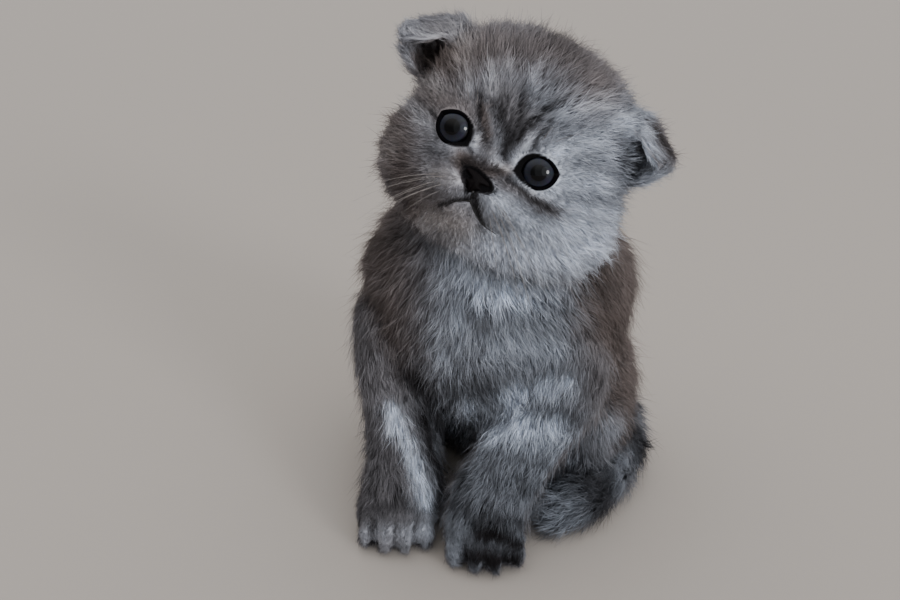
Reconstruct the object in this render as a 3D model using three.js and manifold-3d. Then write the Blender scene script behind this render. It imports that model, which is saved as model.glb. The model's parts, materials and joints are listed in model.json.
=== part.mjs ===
// A six-week-old fold-eared kitten, life size, sitting upright with its head tilted to its left
// and lifted, and its tail laid round its left side. Every form is the outline of the coat.
// Millimetres, +Z up. The kitten faces -Y and its left side is +X. The floor is z = 0, and the
// finished group stands with the bottom centre of its bounding box at the origin.
import * as THREE from "three";
import { mergeVertices } from "three/addons/utils/BufferGeometryUtils.js";
import Module from "manifold-3d";

const wasm = await Module();
wasm.setup();

// Driving dimensions
const GAP = 0.3; // between two pieces that touch
const COARSE_ALLOWANCE = 0.4; // for the flatter facets of a coarser surface
const HEAD_CENTRE = [9.3, -8.4, 117.2];
const HEAD_TURN_DEG = 7; // towards the kitten's left
const HEAD_LIFT_DEG = 17;
const HEAD_TILT_DEG = 24.5; // crown leaning to the kitten's left
const HEAD_HALF_WIDTH = 32.5;
const HEAD_HALF_HEIGHT = 31;
const HEAD_HALF_DEPTH = 30;
const HEAD_FLUFF = 1.2; // how much further the coat of the head stands out to its left
const EYE_SPACING = 24;
const EYE_HEIGHT = -1.5; // in the head's frame
const EYEBALL_RADIUS = 6.2;
const EYE_OPENING = [4.2, 3.8]; // half width and half height between the lids
const LID_THICKNESS = 0.9;
const CHEST_HALF_WIDTH = 37;
const RUMP_HALF_WIDTH = 34;
const HAUNCH_HALF_WIDTH = 46;
const PAW_WIDTH = 25.5;
const PAW_HEIGHT = 11; // of its toes
const PAW_LENGTH = 16; // from the wrist to the tips of the toes
const WRISTS = { left: [10, -29.5], right: [-18, -29.5] };
const PAW_TURN_DEG = 17; // both forepaws point towards the kitten's left
const TAIL_RADIUS = 10;

const SIDES = { left: 1, right: -1 };

// Fields: each gives the distance of a point from a mass, negative inside it

function ellipsoid(at, half, turnDeg = [0, 0, 0]) {
  const turn = new THREE.Euler(...turnDeg.map(THREE.MathUtils.degToRad));
  const toLocal = new THREE.Matrix4().makeRotationFromEuler(turn).setPosition(...at).invert();
  const p = new THREE.Vector3();
  return (point) => {
    p.copy(point).applyMatrix4(toLocal);
    const share = Math.hypot(p.x / half[0], p.y / half[1], p.z / half[2]);
    const slope = Math.hypot(p.x / half[0] ** 2, p.y / half[1] ** 2, p.z / half[2] ** 2);
    return slope < 1e-6 ? -Math.min(...half) : (share * (share - 1)) / slope;
  };
}

function limb(from, to, startRadius, endRadius) {
  const start = new THREE.Vector3(...from);
  const along = new THREE.Vector3(...to).sub(start);
  const p = new THREE.Vector3();
  return (point) => {
    p.copy(point).sub(start);
    const share = THREE.MathUtils.clamp(p.dot(along) / along.lengthSq(), 0, 1);
    return p.addScaledVector(along, -share).length() - THREE.MathUtils.lerp(startRadius, endRadius, share);
  };
}

// Masses run into each other over the width given
function blended(masses, width) {
  return (point) =>
    masses.reduce((nearest, mass) => {
      const d = mass(point);
      const overlap = Math.max(width - Math.abs(nearest - d), 0) / width;
      return Math.min(nearest, d) - (overlap * overlap * width) / 4;
    }, 1e3);
}

const both = (make) => Object.values(SIDES).map(make);

// Surfaces: a sphere's grid, each vertex moved out from a spine until it leaves the field

function reach(field, origin, direction) {
  const p = new THREE.Vector3();
  const at = (r) => field(p.copy(origin).addScaledVector(direction, r));
  let near = 0;
  let far = 0;
  for (let d = at(0); d < 0; d = at(far)) {
    near = far;
    far += Math.max(0.5, -0.8 * d);
  }
  if (far === 0) throw new Error("a spine leaves its form at " + origin.toArray().map(Math.round));
  for (let i = 0; i < 18; i++) {
    const middle = (near + far) / 2;
    if (at(middle) < 0) near = middle;
    else far = middle;
  }
  return far;
}

// One closed form. With several spine points it is a limb with round ends, and with one point a
// ball, whose grid is finest towards the pole when focus is over 1.
function form({ spine, pole = [0, 0, 1], side = [1, 0, 0], masses, sides, rings, focus = 1 }, grow = 0) {
  const field = (p) => masses(p) - grow;
  const points = spine.map((p) => new THREE.Vector3(...p));
  const curve = points.length > 1 ? new THREE.CatmullRomCurve3(points) : null;
  const capShare = curve ? 0.2 : 0.5;
  const geometry = new THREE.SphereGeometry(1, sides, rings);
  const position = geometry.getAttribute("position");
  const unit = new THREE.Vector3();
  const across = new THREE.Vector3();
  const over = new THREE.Vector3();
  const axis = new THREE.Vector3();
  const direction = new THREE.Vector3();
  for (let i = 0; i < position.count; i++) {
    unit.fromBufferAttribute(position, i);
    const share = Math.acos(THREE.MathUtils.clamp(unit.y, -1, 1)) / Math.PI;
    const round = Math.atan2(unit.z, unit.x);
    const along = THREE.MathUtils.clamp((share - capShare) / (1 - 2 * capShare || 1), 0, 1);
    const origin = curve ? curve.getPoint(along) : points[0];
    let fromPole = Math.PI * share ** focus;
    if (curve) {
      axis.copy(curve.getTangent(along)).negate();
      fromPole = share < capShare ? (share / capShare) * 0.5 * Math.PI : 0.5 * Math.PI;
      if (share > 1 - capShare) fromPole = Math.PI - ((1 - share) / capShare) * 0.5 * Math.PI;
    } else {
      axis.set(...pole).normalize();
    }
    across.set(...side).addScaledVector(axis, -axis.dot(across.set(...side))).normalize();
    over.crossVectors(across, axis);
    direction
      .copy(axis)
      .multiplyScalar(Math.cos(fromPole))
      .addScaledVector(across, Math.sin(fromPole) * Math.cos(round))
      .addScaledVector(over, Math.sin(fromPole) * Math.sin(round));
    const r = reach(field, origin, direction);
    position.setXYZ(i, ...direction.multiplyScalar(r).add(origin).toArray());
  }
  return geometry;
}

// Solids

// The room that a form takes up in its neighbours, with the gap
const room = (spec) => solidOf(form(spec, GAP));

function solidOf(geometry, matrix = new THREE.Matrix4()) {
  const source = geometry.clone().applyMatrix4(matrix);
  source.deleteAttribute("normal");
  source.deleteAttribute("uv");
  const merged = mergeVertices(source, 1e-3);
  return new wasm.Manifold(
    new wasm.Mesh({
      numProp: 3,
      vertProperties: merged.attributes.position.array,
      triVerts: new Uint32Array(merged.index.array),
    }),
  );
}

const floorBlock = solidOf(new THREE.BoxGeometry(400, 400, 100).translate(0, 0, -50));

function largest(solid) {
  return solid.decompose().reduce((a, b) => (b.volume() > a.volume() ? b : a));
}

function joined(solids) {
  return solids.reduce((a, b) => a.add(b));
}

function cut(solid, tools) {
  return largest(tools.reduce((a, b) => a.subtract(b), solid));
}

// Puts a solid in the scene as a mesh whose own origin is the joint or centre it turns about
function nodeMesh(name, solid, pivot, material, parent) {
  const { numProp, vertProperties, triVerts, numVert } = solid.getMesh();
  const positions = new Float32Array(numVert * 3);
  for (let i = 0; i < numVert; i++) {
    positions.set(vertProperties.subarray(i * numProp, i * numProp + 3), i * 3);
  }
  const geometry = new THREE.BufferGeometry()
    .setAttribute("position", new THREE.BufferAttribute(positions, 3))
    .setIndex(new THREE.BufferAttribute(triVerts, 1))
    .translate(...pivot.map((v) => -v));
  geometry.computeVertexNormals();
  const mesh = new THREE.Mesh(geometry, material);
  mesh.name = name;
  mesh.position.set(...pivot);
  parent.add(mesh);
  return mesh;
}

// Materials

const material = (color, roughness) => new THREE.MeshStandardMaterial({ color, roughness, metalness: 0 });
const silverCoat = material(0x8f8f96, 0.95);
const faceCoat = material(0x9a9a9f, 0.95);
const darkCoat = material(0x3d3a3c, 0.95);
const backCoat = material(0x6a6261, 0.95);
const noseLeather = material(0x1c1719, 0.5);
const eyeGloss = material(0x22252b, 0.05);

const kitten = new THREE.Group();
const headGroup = new THREE.Group();
headGroup.position.set(...HEAD_CENTRE);
headGroup.rotation.set(
  THREE.MathUtils.degToRad(-HEAD_LIFT_DEG),
  THREE.MathUtils.degToRad(HEAD_TILT_DEG),
  THREE.MathUtils.degToRad(HEAD_TURN_DEG),
  "ZXY",
);
headGroup.updateMatrix();
const headPlace = headGroup.matrix.clone();

// Head, in its own frame: the face looks along -Y

const cheekHalfWidth = (s) => HEAD_HALF_WIDTH - 14.5 + (s > 0 ? 2 * HEAD_FLUFF : 0);

const skull = blended(
  [
    ellipsoid([HEAD_FLUFF, 4, 2], [HEAD_HALF_WIDTH - 1.8, HEAD_HALF_DEPTH - 1.5, HEAD_HALF_HEIGHT - 1.5]),
    ellipsoid([HEAD_FLUFF / 2, -7, 11], [23, 15, 19]),
    ...both((s) => ellipsoid([s * 12 + HEAD_FLUFF, 0, 10.5], [16.5, 18, 17])),
    ...both((s) => ellipsoid([s * 15.5 + HEAD_FLUFF, -4, -11.5], [cheekHalfWidth(s), 17.5, 17], [0, 0, s * 12])),
    ellipsoid([0, -7, -17], [19, 16, 13]),
  ],
  8,
);
const muzzle = blended(
  [
    ellipsoid([0, -16.5, -10.5], [13, 10.5, 8.5]),
    limb([0, -16, 3], [0, -23.4, -7.6], 4.8, 5),
    ...both((s) => ellipsoid([s * 5, -23.2, -13], [6.2, 7.2, 5.5], [0, 0, s * 20])),
    ellipsoid([0, -21.8, -19], [6, 6.4, 4]),
  ],
  2.2,
);
const lidMounds = both((s) =>
  ellipsoid(eyeCentre(s), [EYEBALL_RADIUS + LID_THICKNESS, EYEBALL_RADIUS + LID_THICKNESS, EYEBALL_RADIUS]),
);
const brows = both((s) => ellipsoid([s * 12, -15.5, 4.5], [8, 7, 5]));

const headForm = {
  spine: [[0, -2, -3]],
  pole: [0, -1, -0.22],
  sides: 40,
  rings: 27,
  focus: 1.3,
  masses: blended([blended([skull, muzzle, ...brows], 5), ...lidMounds], 2),
};

// The point of the face's surface straight in front of x and z, moved forward by lift
function onFace(x, z, lift = 0) {
  const from = new THREE.Vector3(x, -8, z);
  return [x, from.y - reach(headForm.masses, from, new THREE.Vector3(0, -1, 0)) - lift, z];
}

const NOSE = onFace(0, -9.8, -1);

const noseForm = {
  spine: [NOSE],
  pole: [0, -1, 0],
  sides: 16,
  rings: 10,
  masses: blended(
    [
      ellipsoid([0.3, NOSE[1], NOSE[2] + 0.8], [4.8, 2.4, 2], [-18, 0, 0]),
      ellipsoid([0, NOSE[1], NOSE[2] - 1.3], [2.2, 2.2, 2.3]),
    ],
    1.6,
  ),
};

const nostrils = both((s) =>
  solidOf(
    new THREE.SphereGeometry(1, 8, 6)
      .scale(1.05, 1.5, 0.75)
      .rotateY(s * -0.5)
      .translate(s * 2.2, NOSE[1] - 2.4, NOSE[2]),
  ),
);

function eyeCentre(s) {
  return [(s * EYE_SPACING) / 2, -18.4, EYE_HEIGHT];
}

const ball = (s, radius, sides, rings) =>
  solidOf(new THREE.SphereGeometry(radius, sides, rings).rotateX(Math.PI / 2).translate(...eyeCentre(s)));
const eyeball = (s) => ball(s, EYEBALL_RADIUS, 16, 11);
const eyeSocket = (s) => ball(s, EYEBALL_RADIUS + GAP + COARSE_ALLOWANCE, 14, 9);

// The opening between the lids, drawn out into a low inner and a high outer corner
function lidOpening(s) {
  const opening = new THREE.CylinderGeometry(1, 1, 8, 26).translate(0, -8, 0);
  const position = opening.getAttribute("position");
  for (let i = 0; i < position.count; i++) {
    const [x, y, z] = [position.getX(i), position.getY(i), position.getZ(i)];
    const round = Math.atan2(z, x);
    const inner = Math.exp(-(((1 - Math.cos(round - 3.6)) / 0.1) ** 2));
    const outer = Math.exp(-(((1 - Math.cos(round - 0.42)) / 0.08) ** 2));
    const stretch = 1 + 0.26 * inner + 0.12 * outer;
    position.setXYZ(i, s * x * stretch * EYE_OPENING[0], y, z * stretch * EYE_OPENING[1]);
  }
  if (s < 0) opening.setIndex([...opening.index.array].reverse());
  return solidOf(opening.translate(...eyeCentre(s)));
}

// The line of the mouth: a drop from the nose, and an arm along under each pad
const MOUTH_HALF_WIDTH = 8.5;
const mouthFork = onFace(0, NOSE[2] - 5.4);
const mouthLines = [
  [onFace(0, NOSE[2] - 2.6, 0.3), onFace(0, NOSE[2] - 4), mouthFork],
  ...both((s) => [
    mouthFork,
    onFace(s * 2.6, mouthFork[2] - 1.6),
    onFace(s * 5.4, mouthFork[2] - 3.4),
    onFace(s * MOUTH_HALF_WIDTH, mouthFork[2] - 4.2),
  ]),
].map((points) => {
  const path = new THREE.CatmullRomCurve3(points.map((p) => new THREE.Vector3(...p)));
  const groove = new THREE.Shape().absarc(0, 0, 0.7, 0, 2 * Math.PI);
  return solidOf(
    new THREE.ExtrudeGeometry(groove, { extrudePath: path, steps: 6, curveSegments: 3, bevelEnabled: false }),
  );
});

// Ears: a small pinna round its own cup, folded forward and down along its crease
const EAR_ROOT = [[21, -8, 21.5], [24, 0, 22], [28.5, 4.5, 16.5], [32.5, 1, 9], [31.5, -7, 6]];
const EAR_CREASE = [[22.5, -8.5, 22.5], [28.3, -4.5, 22.8], [34.3, -2.5, 20.2], [38.8, -4, 15.4], [33.5, -8, 7]];
const EAR_EDGE = [[22.5, -9.5, 21.6], [27, -12, 18.4], [32, -12.5, 15.4], [36.8, -9.5, 12.8], [33.8, -8.8, 6.4]];
const EAR_HANG = { left: 0, right: 1.8 }; // how much lower the free edge hangs on each side
const EAR_OUT = [0.9, -0.1, 0.42];
const EAR_ROOT_REACH = 16;
const EAR_HALF_THICKNESS = 1.15;

const curveThrough = (points) => new THREE.CatmullRomCurve3(points.map((p) => new THREE.Vector3(...p)));

function earSheet(s, hang) {
  const [root, crease, edge] = [EAR_ROOT, EAR_CREASE, EAR_EDGE].map(curveThrough);
  const out = new THREE.Vector3(...EAR_OUT).normalize();
  // v is below 0 inside the head, 0 at the root, 0.5 on the crease and 1 at the free edge
  const surface = (u, v) => {
    const [from, over, to] = [root, crease, edge].map((line) => line.getPoint(u));
    if (v < 0) return from.addScaledVector(out, v * EAR_ROOT_REACH);
    to.z -= hang * Math.sin(Math.PI * u);
    const pull = over.multiplyScalar(2).sub(from.clone().add(to).multiplyScalar(0.5));
    return new THREE.QuadraticBezierCurve3(from, pull, to).getPoint(v);
  };
  const sheet = new THREE.BoxGeometry(1, 1, 2, 11, 8, 1);
  const position = sheet.getAttribute("position");
  const step = 1e-3;
  for (let i = 0; i < position.count; i++) {
    const u = position.getX(i) + 0.5;
    const v = -0.2 + 1.2 * (position.getY(i) + 0.5);
    const acrossEar = surface(Math.min(u + step, 1), v).sub(surface(Math.max(u - step, 0), v));
    const alongEar = surface(u, v + step).sub(surface(u, v - step));
    const normal = acrossEar.cross(alongEar).normalize();
    const half = EAR_HALF_THICKNESS * (1.15 - 0.45 * Math.max(v, 0)) * position.getZ(i);
    const p = surface(u, v).addScaledVector(normal, half);
    position.setXYZ(i, s * p.x, p.y, p.z);
  }
  if (s < 0) sheet.setIndex([...sheet.index.array].reverse());
  return sheet;
}

// The hollow of the ear under the fold
const earHollow = (s) =>
  solidOf(new THREE.SphereGeometry(1, 10, 7).scale(4.2, 5, 4.2).translate(s * 29, -3.5, 11.5));

// Neck and body, in the kitten's own frame

const neckForm = {
  spine: [[2, 8, 82], [7, -1, 104]],
  sides: 24,
  rings: 8,
  masses: limb([1, 9, 80], [8, -1, 106], 34, 27),
};

const torsoForm = {
  spine: [[0, 26, 24], [0, 20, 44], [0, 13, 66], [1, 9, 82]],
  sides: 30,
  rings: 20,
  masses: blended(
    [
      ellipsoid([0, 28, 28], [RUMP_HALF_WIDTH, 34, 31]),
      ellipsoid([0, 18, 48], [CHEST_HALF_WIDTH, 36, 32]),
      ellipsoid([0, 14, 67], [CHEST_HALF_WIDTH, 36, 26]),
      ...both((s) => ellipsoid([s * 18, 3, 70], [18.5, 22, 26])),
      ellipsoid([0, -7, 64], [24, 20, 27]),
      ellipsoid([0, 8, 80], [36, 31, 22]),
      ellipsoid([15, 14, 69], [27, 27, 29]),
    ],
    14,
  ),
};

function forelegForm(s, [x, y]) {
  return {
    spine: [[s * 25, -3, 60], [s * 24, -8, 40], [x, y + 6, 13]],
    side: [1, 0, 0],
    sides: 18,
    rings: 15,
    masses: blended(
      [
        ellipsoid([s * 26, -2, 59], [14.8, 20, 21], [8, 0, 0]),
        limb([s * 24.5, -6, 44], [x, y + 6, 14], 15, 11.2),
        limb([x, y + 6, 14], [x, y + 1, 11.8], 11.2, 11),
      ],
      8,
    ),
  };
}

// In the frame of its own wrist
const forepawForm = {
  spine: [[0, 0, 8]],
  pole: [0, -1, 0],
  sides: 16,
  rings: 10,
  masses: blended(
    [
      ellipsoid([0, 2, 8], [PAW_WIDTH / 2 - 0.5, 11.5, 9.8]),
      ellipsoid([0, -4.5, 6.8], [PAW_WIDTH / 2 - 0.2, 10.5, 8.4]),
    ],
    4,
  ),
};

// Four toes side by side, the middle two furthest forward
function toes({ x, tipY, width, height }, grow = 0, matrix) {
  return [-1.5, -0.5, 0.5, 1.5].map((place) => {
    const set = Math.abs(place) < 1 ? 0 : 2.4;
    const half = [width / 6.6 + grow, height * 0.55 + grow, height * 0.5 + grow];
    return solidOf(
      new THREE.SphereGeometry(1, 8, 7)
        .rotateX(Math.PI / 2)
        .scale(...half)
        .rotateZ(place * 0.1)
        .translate(x + (place * width) / 4.5, tipY + set + height * 0.55, height * 0.45),
      matrix,
    );
  });
}

function thighForm(s) {
  return {
    spine: [[s * 31, 30, 27], [s * 33, 12, 27]],
    sides: 20,
    rings: 14,
    masses: blended(
      [
        ellipsoid([s * 31, 27, 30], [HAUNCH_HALF_WIDTH - 31, 25, 27]),
        ellipsoid([s * 31.5, 9, 27], [HAUNCH_HALF_WIDTH - 33, 18, 20], [20, 0, 0]),
      ],
      10,
    ),
  };
}

function hindfootForm(s) {
  return {
    spine: [[s * 27, 22, 7.5], [s * 26, 2, 7]],
    sides: 14,
    rings: 12,
    masses: blended([limb([s * 27, 26, 8], [s * 26, 4, 7.5], 8.5, 9), ellipsoid([s * 26, 0.5, 6.5], [9.8, 10, 7.6])], 5),
  };
}

// The tail's middle line on the floor, from the root to the tip
const TAIL_COURSE = [[5, 55], [22, 56], [37, 44], [41.5, 25], [40, 7], [34.5, -8], [29, -15]];
const TAIL_SPLIT = 3; // the point of the line where the tail is parted in two
const TAIL_ROOT_LIFT = 2.5;
const TAIL_PRESS = 0.4; // how far its round underside is flattened on the floor

const tailRadius = (i) => TAIL_RADIUS - 2.4 * (i / (TAIL_COURSE.length - 1)) ** 1.5;
const TAIL_LINE = TAIL_COURSE.map(([x, y], i) => [x, y, tailRadius(i) - TAIL_PRESS + (i ? 0 : TAIL_ROOT_LIFT)]);

const tailForm = {
  spine: TAIL_LINE,
  side: [0, 0, 1],
  sides: 12,
  rings: 22,
  masses: blended(
    TAIL_LINE.slice(1).map((p, i) => limb(TAIL_LINE[i], p, tailRadius(i), tailRadius(i + 1))),
    3,
  ),
};

// The solids, each cut clear of what it grows from

const noseSolid = cut(solidOf(form(noseForm)), nostrils);
const head = cut(solidOf(form(headForm)), [
  solidOf(form(noseForm, GAP)),
  ...both(eyeSocket),
  ...both(lidOpening),
  ...mouthLines,
  ...both(earHollow),
]);

const coarseHead = form({ ...headForm, sides: 28, rings: 18 }, GAP + COARSE_ALLOWANCE);
const headRoom = solidOf(coarseHead);
const headInBody = solidOf(coarseHead, headPlace);
const torsoRoom = room(torsoForm);

nodeMesh("head", head, [0, 0, 0], faceCoat, headGroup);
nodeMesh("nose", noseSolid, NOSE, noseLeather, headGroup);
for (const [name, s] of Object.entries(SIDES)) {
  nodeMesh("eye_" + name, eyeball(s), eyeCentre(s), eyeGloss, headGroup);
  const ear = cut(solidOf(earSheet(s, EAR_HANG[name])), [headRoom]);
  nodeMesh("ear_" + name, ear, [s * 26, 1, 14], darkCoat, headGroup);
}
kitten.add(headGroup);

const neck = cut(solidOf(form(neckForm)), [torsoRoom, headInBody]);
nodeMesh("neck", neck, [4, 2, 92], silverCoat, kitten);

const besideTail = [];
for (const [name, s] of Object.entries(SIDES)) {
  const wrist = WRISTS[name];
  const pawPlace = new THREE.Matrix4().makeRotationZ(THREE.MathUtils.degToRad(PAW_TURN_DEG)).setPosition(...wrist, 0);
  const toeSolids = toes({ x: 0, tipY: -PAW_LENGTH, width: PAW_WIDTH, height: PAW_HEIGHT }, 0, pawPlace);
  const paw = cut(joined([solidOf(form(forepawForm), pawPlace), ...toeSolids]), [floorBlock]);
  const pawRoom = solidOf(form(forepawForm, GAP), pawPlace);
  const foreleg = cut(solidOf(form(forelegForm(s, wrist))), [torsoRoom, pawRoom, floorBlock]);
  nodeMesh("foreleg_" + name, foreleg, [s * 25, -3, 60], silverCoat, kitten);
  nodeMesh("forepaw_" + name, paw, [...wrist, 12], darkCoat, kitten);

  const forelegRoom = room(forelegForm(s, wrist));
  const thigh = cut(solidOf(form(thighForm(s))), [torsoRoom, forelegRoom, floorBlock]);
  nodeMesh("thigh_" + name, thigh, [s * 31, 30, 30], backCoat, kitten);

  const thighRoom = room(thighForm(s));
  const hindToes = { x: s * 26, tipY: -10.6, width: 19, height: 9.2 };
  const footWhole = joined([solidOf(form(hindfootForm(s))), ...toes(hindToes)]);
  const foot = cut(footWhole, [torsoRoom, thighRoom, forelegRoom, pawRoom, floorBlock]);
  nodeMesh("hindpaw_" + name, foot, [s * 27, 24, 9], darkCoat, kitten);
  if (s > 0) besideTail.push(thighRoom, room(hindfootForm(s)), ...toes(hindToes, GAP), forelegRoom, pawRoom);
}

const torso = cut(solidOf(form(torsoForm)), [headInBody, floorBlock]);
nodeMesh("torso", torso, [0, 10, 60], backCoat, kitten);

const tail = cut(solidOf(form(tailForm)), [torsoRoom, ...besideTail, floorBlock]);
const partingY = TAIL_LINE[TAIL_SPLIT][1];
const inFront = solidOf(new THREE.BoxGeometry(400, 400, 400).translate(0, partingY + GAP / 2 - 200, 0));
const behind = solidOf(new THREE.BoxGeometry(400, 400, 400).translate(0, partingY - GAP / 2 + 200, 0));
nodeMesh("tail_base", cut(tail, [inFront]), TAIL_LINE[0], darkCoat, kitten);
nodeMesh("tail_tip", cut(tail, [behind]), TAIL_LINE[TAIL_SPLIT], darkCoat, kitten);

// The whole stands with the bottom centre of its bounding box at the origin
const root = new THREE.Group();
root.add(kitten);
root.updateMatrixWorld(true);
const box = new THREE.Box3().setFromObject(kitten, true);
kitten.position.set(-(box.min.x + box.max.x) / 2, -(box.min.y + box.max.y) / 2, -box.min.z);
root.updateMatrixWorld(true);

export default root;
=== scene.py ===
"""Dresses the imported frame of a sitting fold-eared kitten.

One skin takes the place of the flesh nodes, and a coat of fine solid tufts grows on it. The eyes, lid
rims, nose, lips and whiskers are pieces of their own. Lengths are in metres, unless a name ends in _MM or a
comment says otherwise. The head's frame has its face along -Y, its crown along +Z and the kitten's left
along +X, and points named q are in millimetres in that frame.
"""
import json
import math
from typing import NamedTuple

import bmesh
import bpy
import numpy as np
from bpy.props import FloatProperty, FloatVectorProperty, PointerProperty
from bpy.types import Operator, Panel, PropertyGroup
from mathutils import Euler, Matrix, Vector, noise
from mathutils.bvhtree import BVHTree
from mathutils.kdtree import KDTree

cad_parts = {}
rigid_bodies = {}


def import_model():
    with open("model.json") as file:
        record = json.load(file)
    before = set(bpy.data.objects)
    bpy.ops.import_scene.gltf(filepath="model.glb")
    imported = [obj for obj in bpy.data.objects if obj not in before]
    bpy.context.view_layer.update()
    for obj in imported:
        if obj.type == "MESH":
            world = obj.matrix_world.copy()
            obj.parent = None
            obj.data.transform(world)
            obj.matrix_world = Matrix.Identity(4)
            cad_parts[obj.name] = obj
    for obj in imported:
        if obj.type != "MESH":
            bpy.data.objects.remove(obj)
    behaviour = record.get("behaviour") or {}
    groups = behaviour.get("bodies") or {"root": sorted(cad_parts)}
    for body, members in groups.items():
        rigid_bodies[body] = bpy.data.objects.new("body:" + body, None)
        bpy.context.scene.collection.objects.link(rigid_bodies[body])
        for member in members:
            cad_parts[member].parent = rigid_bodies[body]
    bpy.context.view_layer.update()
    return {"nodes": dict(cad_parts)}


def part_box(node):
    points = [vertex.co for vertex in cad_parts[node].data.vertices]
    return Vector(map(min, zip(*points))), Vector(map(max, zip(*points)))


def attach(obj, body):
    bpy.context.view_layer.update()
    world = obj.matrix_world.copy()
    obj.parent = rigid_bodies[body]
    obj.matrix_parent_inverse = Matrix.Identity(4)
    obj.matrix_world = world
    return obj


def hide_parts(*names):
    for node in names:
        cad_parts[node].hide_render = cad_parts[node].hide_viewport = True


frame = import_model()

bl_info = {
    "name": "Fold-eared kitten",
    "version": (1, 0, 0),
    "blender": (4, 5, 0),
    "location": "View3D > Sidebar > Kitten",
    "description": "Skin, coat, eyes, nose, lips and whiskers for a sitting kitten",
    "category": "Add Mesh",
}

MM = 0.001
SIDES = {"left": 1, "right": -1}

# The head's frame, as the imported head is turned
HEAD_TURN = math.radians(7)
HEAD_LIFT = math.radians(17)
HEAD_TILT = math.radians(24.5)
HEAD_TURNED = (
    Matrix.Rotation(HEAD_TURN, 3, "Z")
    @ Matrix.Rotation(-HEAD_LIFT, 3, "X")
    @ Matrix.Rotation(HEAD_TILT, 3, "Y")
)
HEAD_AXES = np.array(HEAD_TURNED)
INTO_FACE = Vector(HEAD_AXES[:, 1])

# The face, in the head's frame
EYE_SPACING_MM = 23
EYE_BACK_MM = -18.4
EYE_HEIGHT_MM = -1.5
EYEBALL_RADIUS_MM = 6.2
LID_OPENING_MM = (4.35, 3.75)  # half width and half height
LID_THICKNESS_MM = 0.55
LID_CORNERS = (math.radians(205), math.radians(22))  # inner and outer, round from the kitten's outer side
CORNER_REACH = (0.2, 0.18)  # how much further the opening goes at each, as a share
CORNER_BREADTH = 0.13
NOSE_TIP_MM = np.array([0, -28.5, -9.8])
NOSE_MIDDLE_MM = np.array([-0.2, -26.2, -10.8])
NOSE_HALF_MM = (5.5, 2.6, 3.4)  # half the width, depth and height of the leather
NOSE_ROLL = math.radians(10)
NOSE_TURNED = np.array(Matrix.Rotation(NOSE_ROLL, 3, "Y"))
# The line of the mouth seen from in front, down from the nose and then out to each corner
MOUTH_MM = [
    [(0.4, -12.6), (0.9, -15.1)],
    [(0.9, -15.1), (3.6, -17.4), (6.4, -19.2), (10.2, -20)],
    [(0.9, -15.1), (-1, -16), (-2.8, -17.4), (-4.4, -19.6)],
]
BEHIND = 99  # stands for the distance of what lies behind the face

# The camera, placed from the head, and its picture
CAMERA_FROM_HEAD_MM = (60.38, -232.09, 61.8)
CAMERA_TURN = (math.radians(66), 0, math.radians(18.5))
PICTURE_PX = (900, 600)


def middle(node):
    low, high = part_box(node)
    return (low + high) / 2


def eye_centre_mm(side):
    return np.array([side * EYE_SPACING_MM / 2, EYE_BACK_MM, EYE_HEIGHT_MM])


EYES_FROM_HEAD = HEAD_TURNED @ Vector((0, EYE_BACK_MM, EYE_HEIGHT_MM)) * MM
HEAD_AT = (middle("eye_left") + middle("eye_right")) / 2 - EYES_FROM_HEAD
BODY_MIDDLE = middle("torso")
CAMERA_AT = HEAD_AT + Vector(CAMERA_FROM_HEAD_MM) * MM
CAMERA_AXES = np.array(Euler(CAMERA_TURN).to_matrix())


def to_head(points):
    """Points of the row frame, in millimetres in the head's frame."""
    return (points - np.array(HEAD_AT)) @ HEAD_AXES / MM


def from_head(points_mm):
    """Points of the head's frame, in metres in the row frame."""
    return np.asarray(points_mm) * MM @ HEAD_AXES.T + np.array(HEAD_AT)


def seen_at(points):
    """Where the camera sees points, in pixels of the 900 by 600 picture."""
    x, y, z = ((points - np.array(CAMERA_AT)) @ CAMERA_AXES).T
    wide, high = PICTURE_PX
    return np.stack([wide / 2 - wide * x / z, high / 2 + wide * y / z], 1)


# Numbers over many points

SWIRL_SEED = 7


def unit(vectors):
    return vectors / np.maximum(np.linalg.norm(vectors, axis=-1, keepdims=True), 1e-12)


def along_skin(vectors, normals):
    """Unit vectors, laid flat on the skin."""
    return unit(vectors - normals * np.sum(vectors * normals, axis=1, keepdims=True))


def ramp(low, high, x):
    """0 below low, 1 above high, and a smooth rise between them."""
    share = np.clip((x - low) / (high - low), 0, 1)
    return share * share * (3 - 2 * share)


def bell(x):
    """1 at 0, with a soft fall on both sides."""
    return np.exp(-(x**2))


def wave(x):
    """From 0 to 1 and back, again and again."""
    return 0.5 + 0.5 * np.cos(x)


def mixed(a, b, share):
    share = np.asarray(share)[..., None]
    return a * (1 - share) + b * share


def off_line(points, line):
    """How far each point is from a line of straight lengths."""
    line = np.asarray(line, float)
    nearest = np.full(len(points), np.inf)
    for start, end in zip(line[:-1], line[1:]):
        along = end - start
        share = np.clip((points - start) @ along / max(along @ along, 1e-9), 0, 1)
        nearest = np.minimum(nearest, np.linalg.norm(points - start - share[:, None] * along, axis=1))
    return nearest


def smooth_path(points, count):
    """Points spaced evenly on a smooth curve through a few given ones."""
    points = np.asarray(points, float)
    padded = np.vstack([2 * points[0] - points[1], points, 2 * points[-1] - points[-2]])
    path = []
    for t in np.linspace(0, len(points) - 1, count):
        i = min(int(t), len(points) - 2)
        u = t - i
        a, b, c, d = padded[i : i + 4]
        slope = (c - a) * u
        bend = (2 * a - 5 * b + 4 * c - d) * u**2
        twist = (3 * b - a - 3 * c + d) * u**3
        path.append(0.5 * (2 * b + slope + bend + twist))
    return np.array(path)


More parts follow.
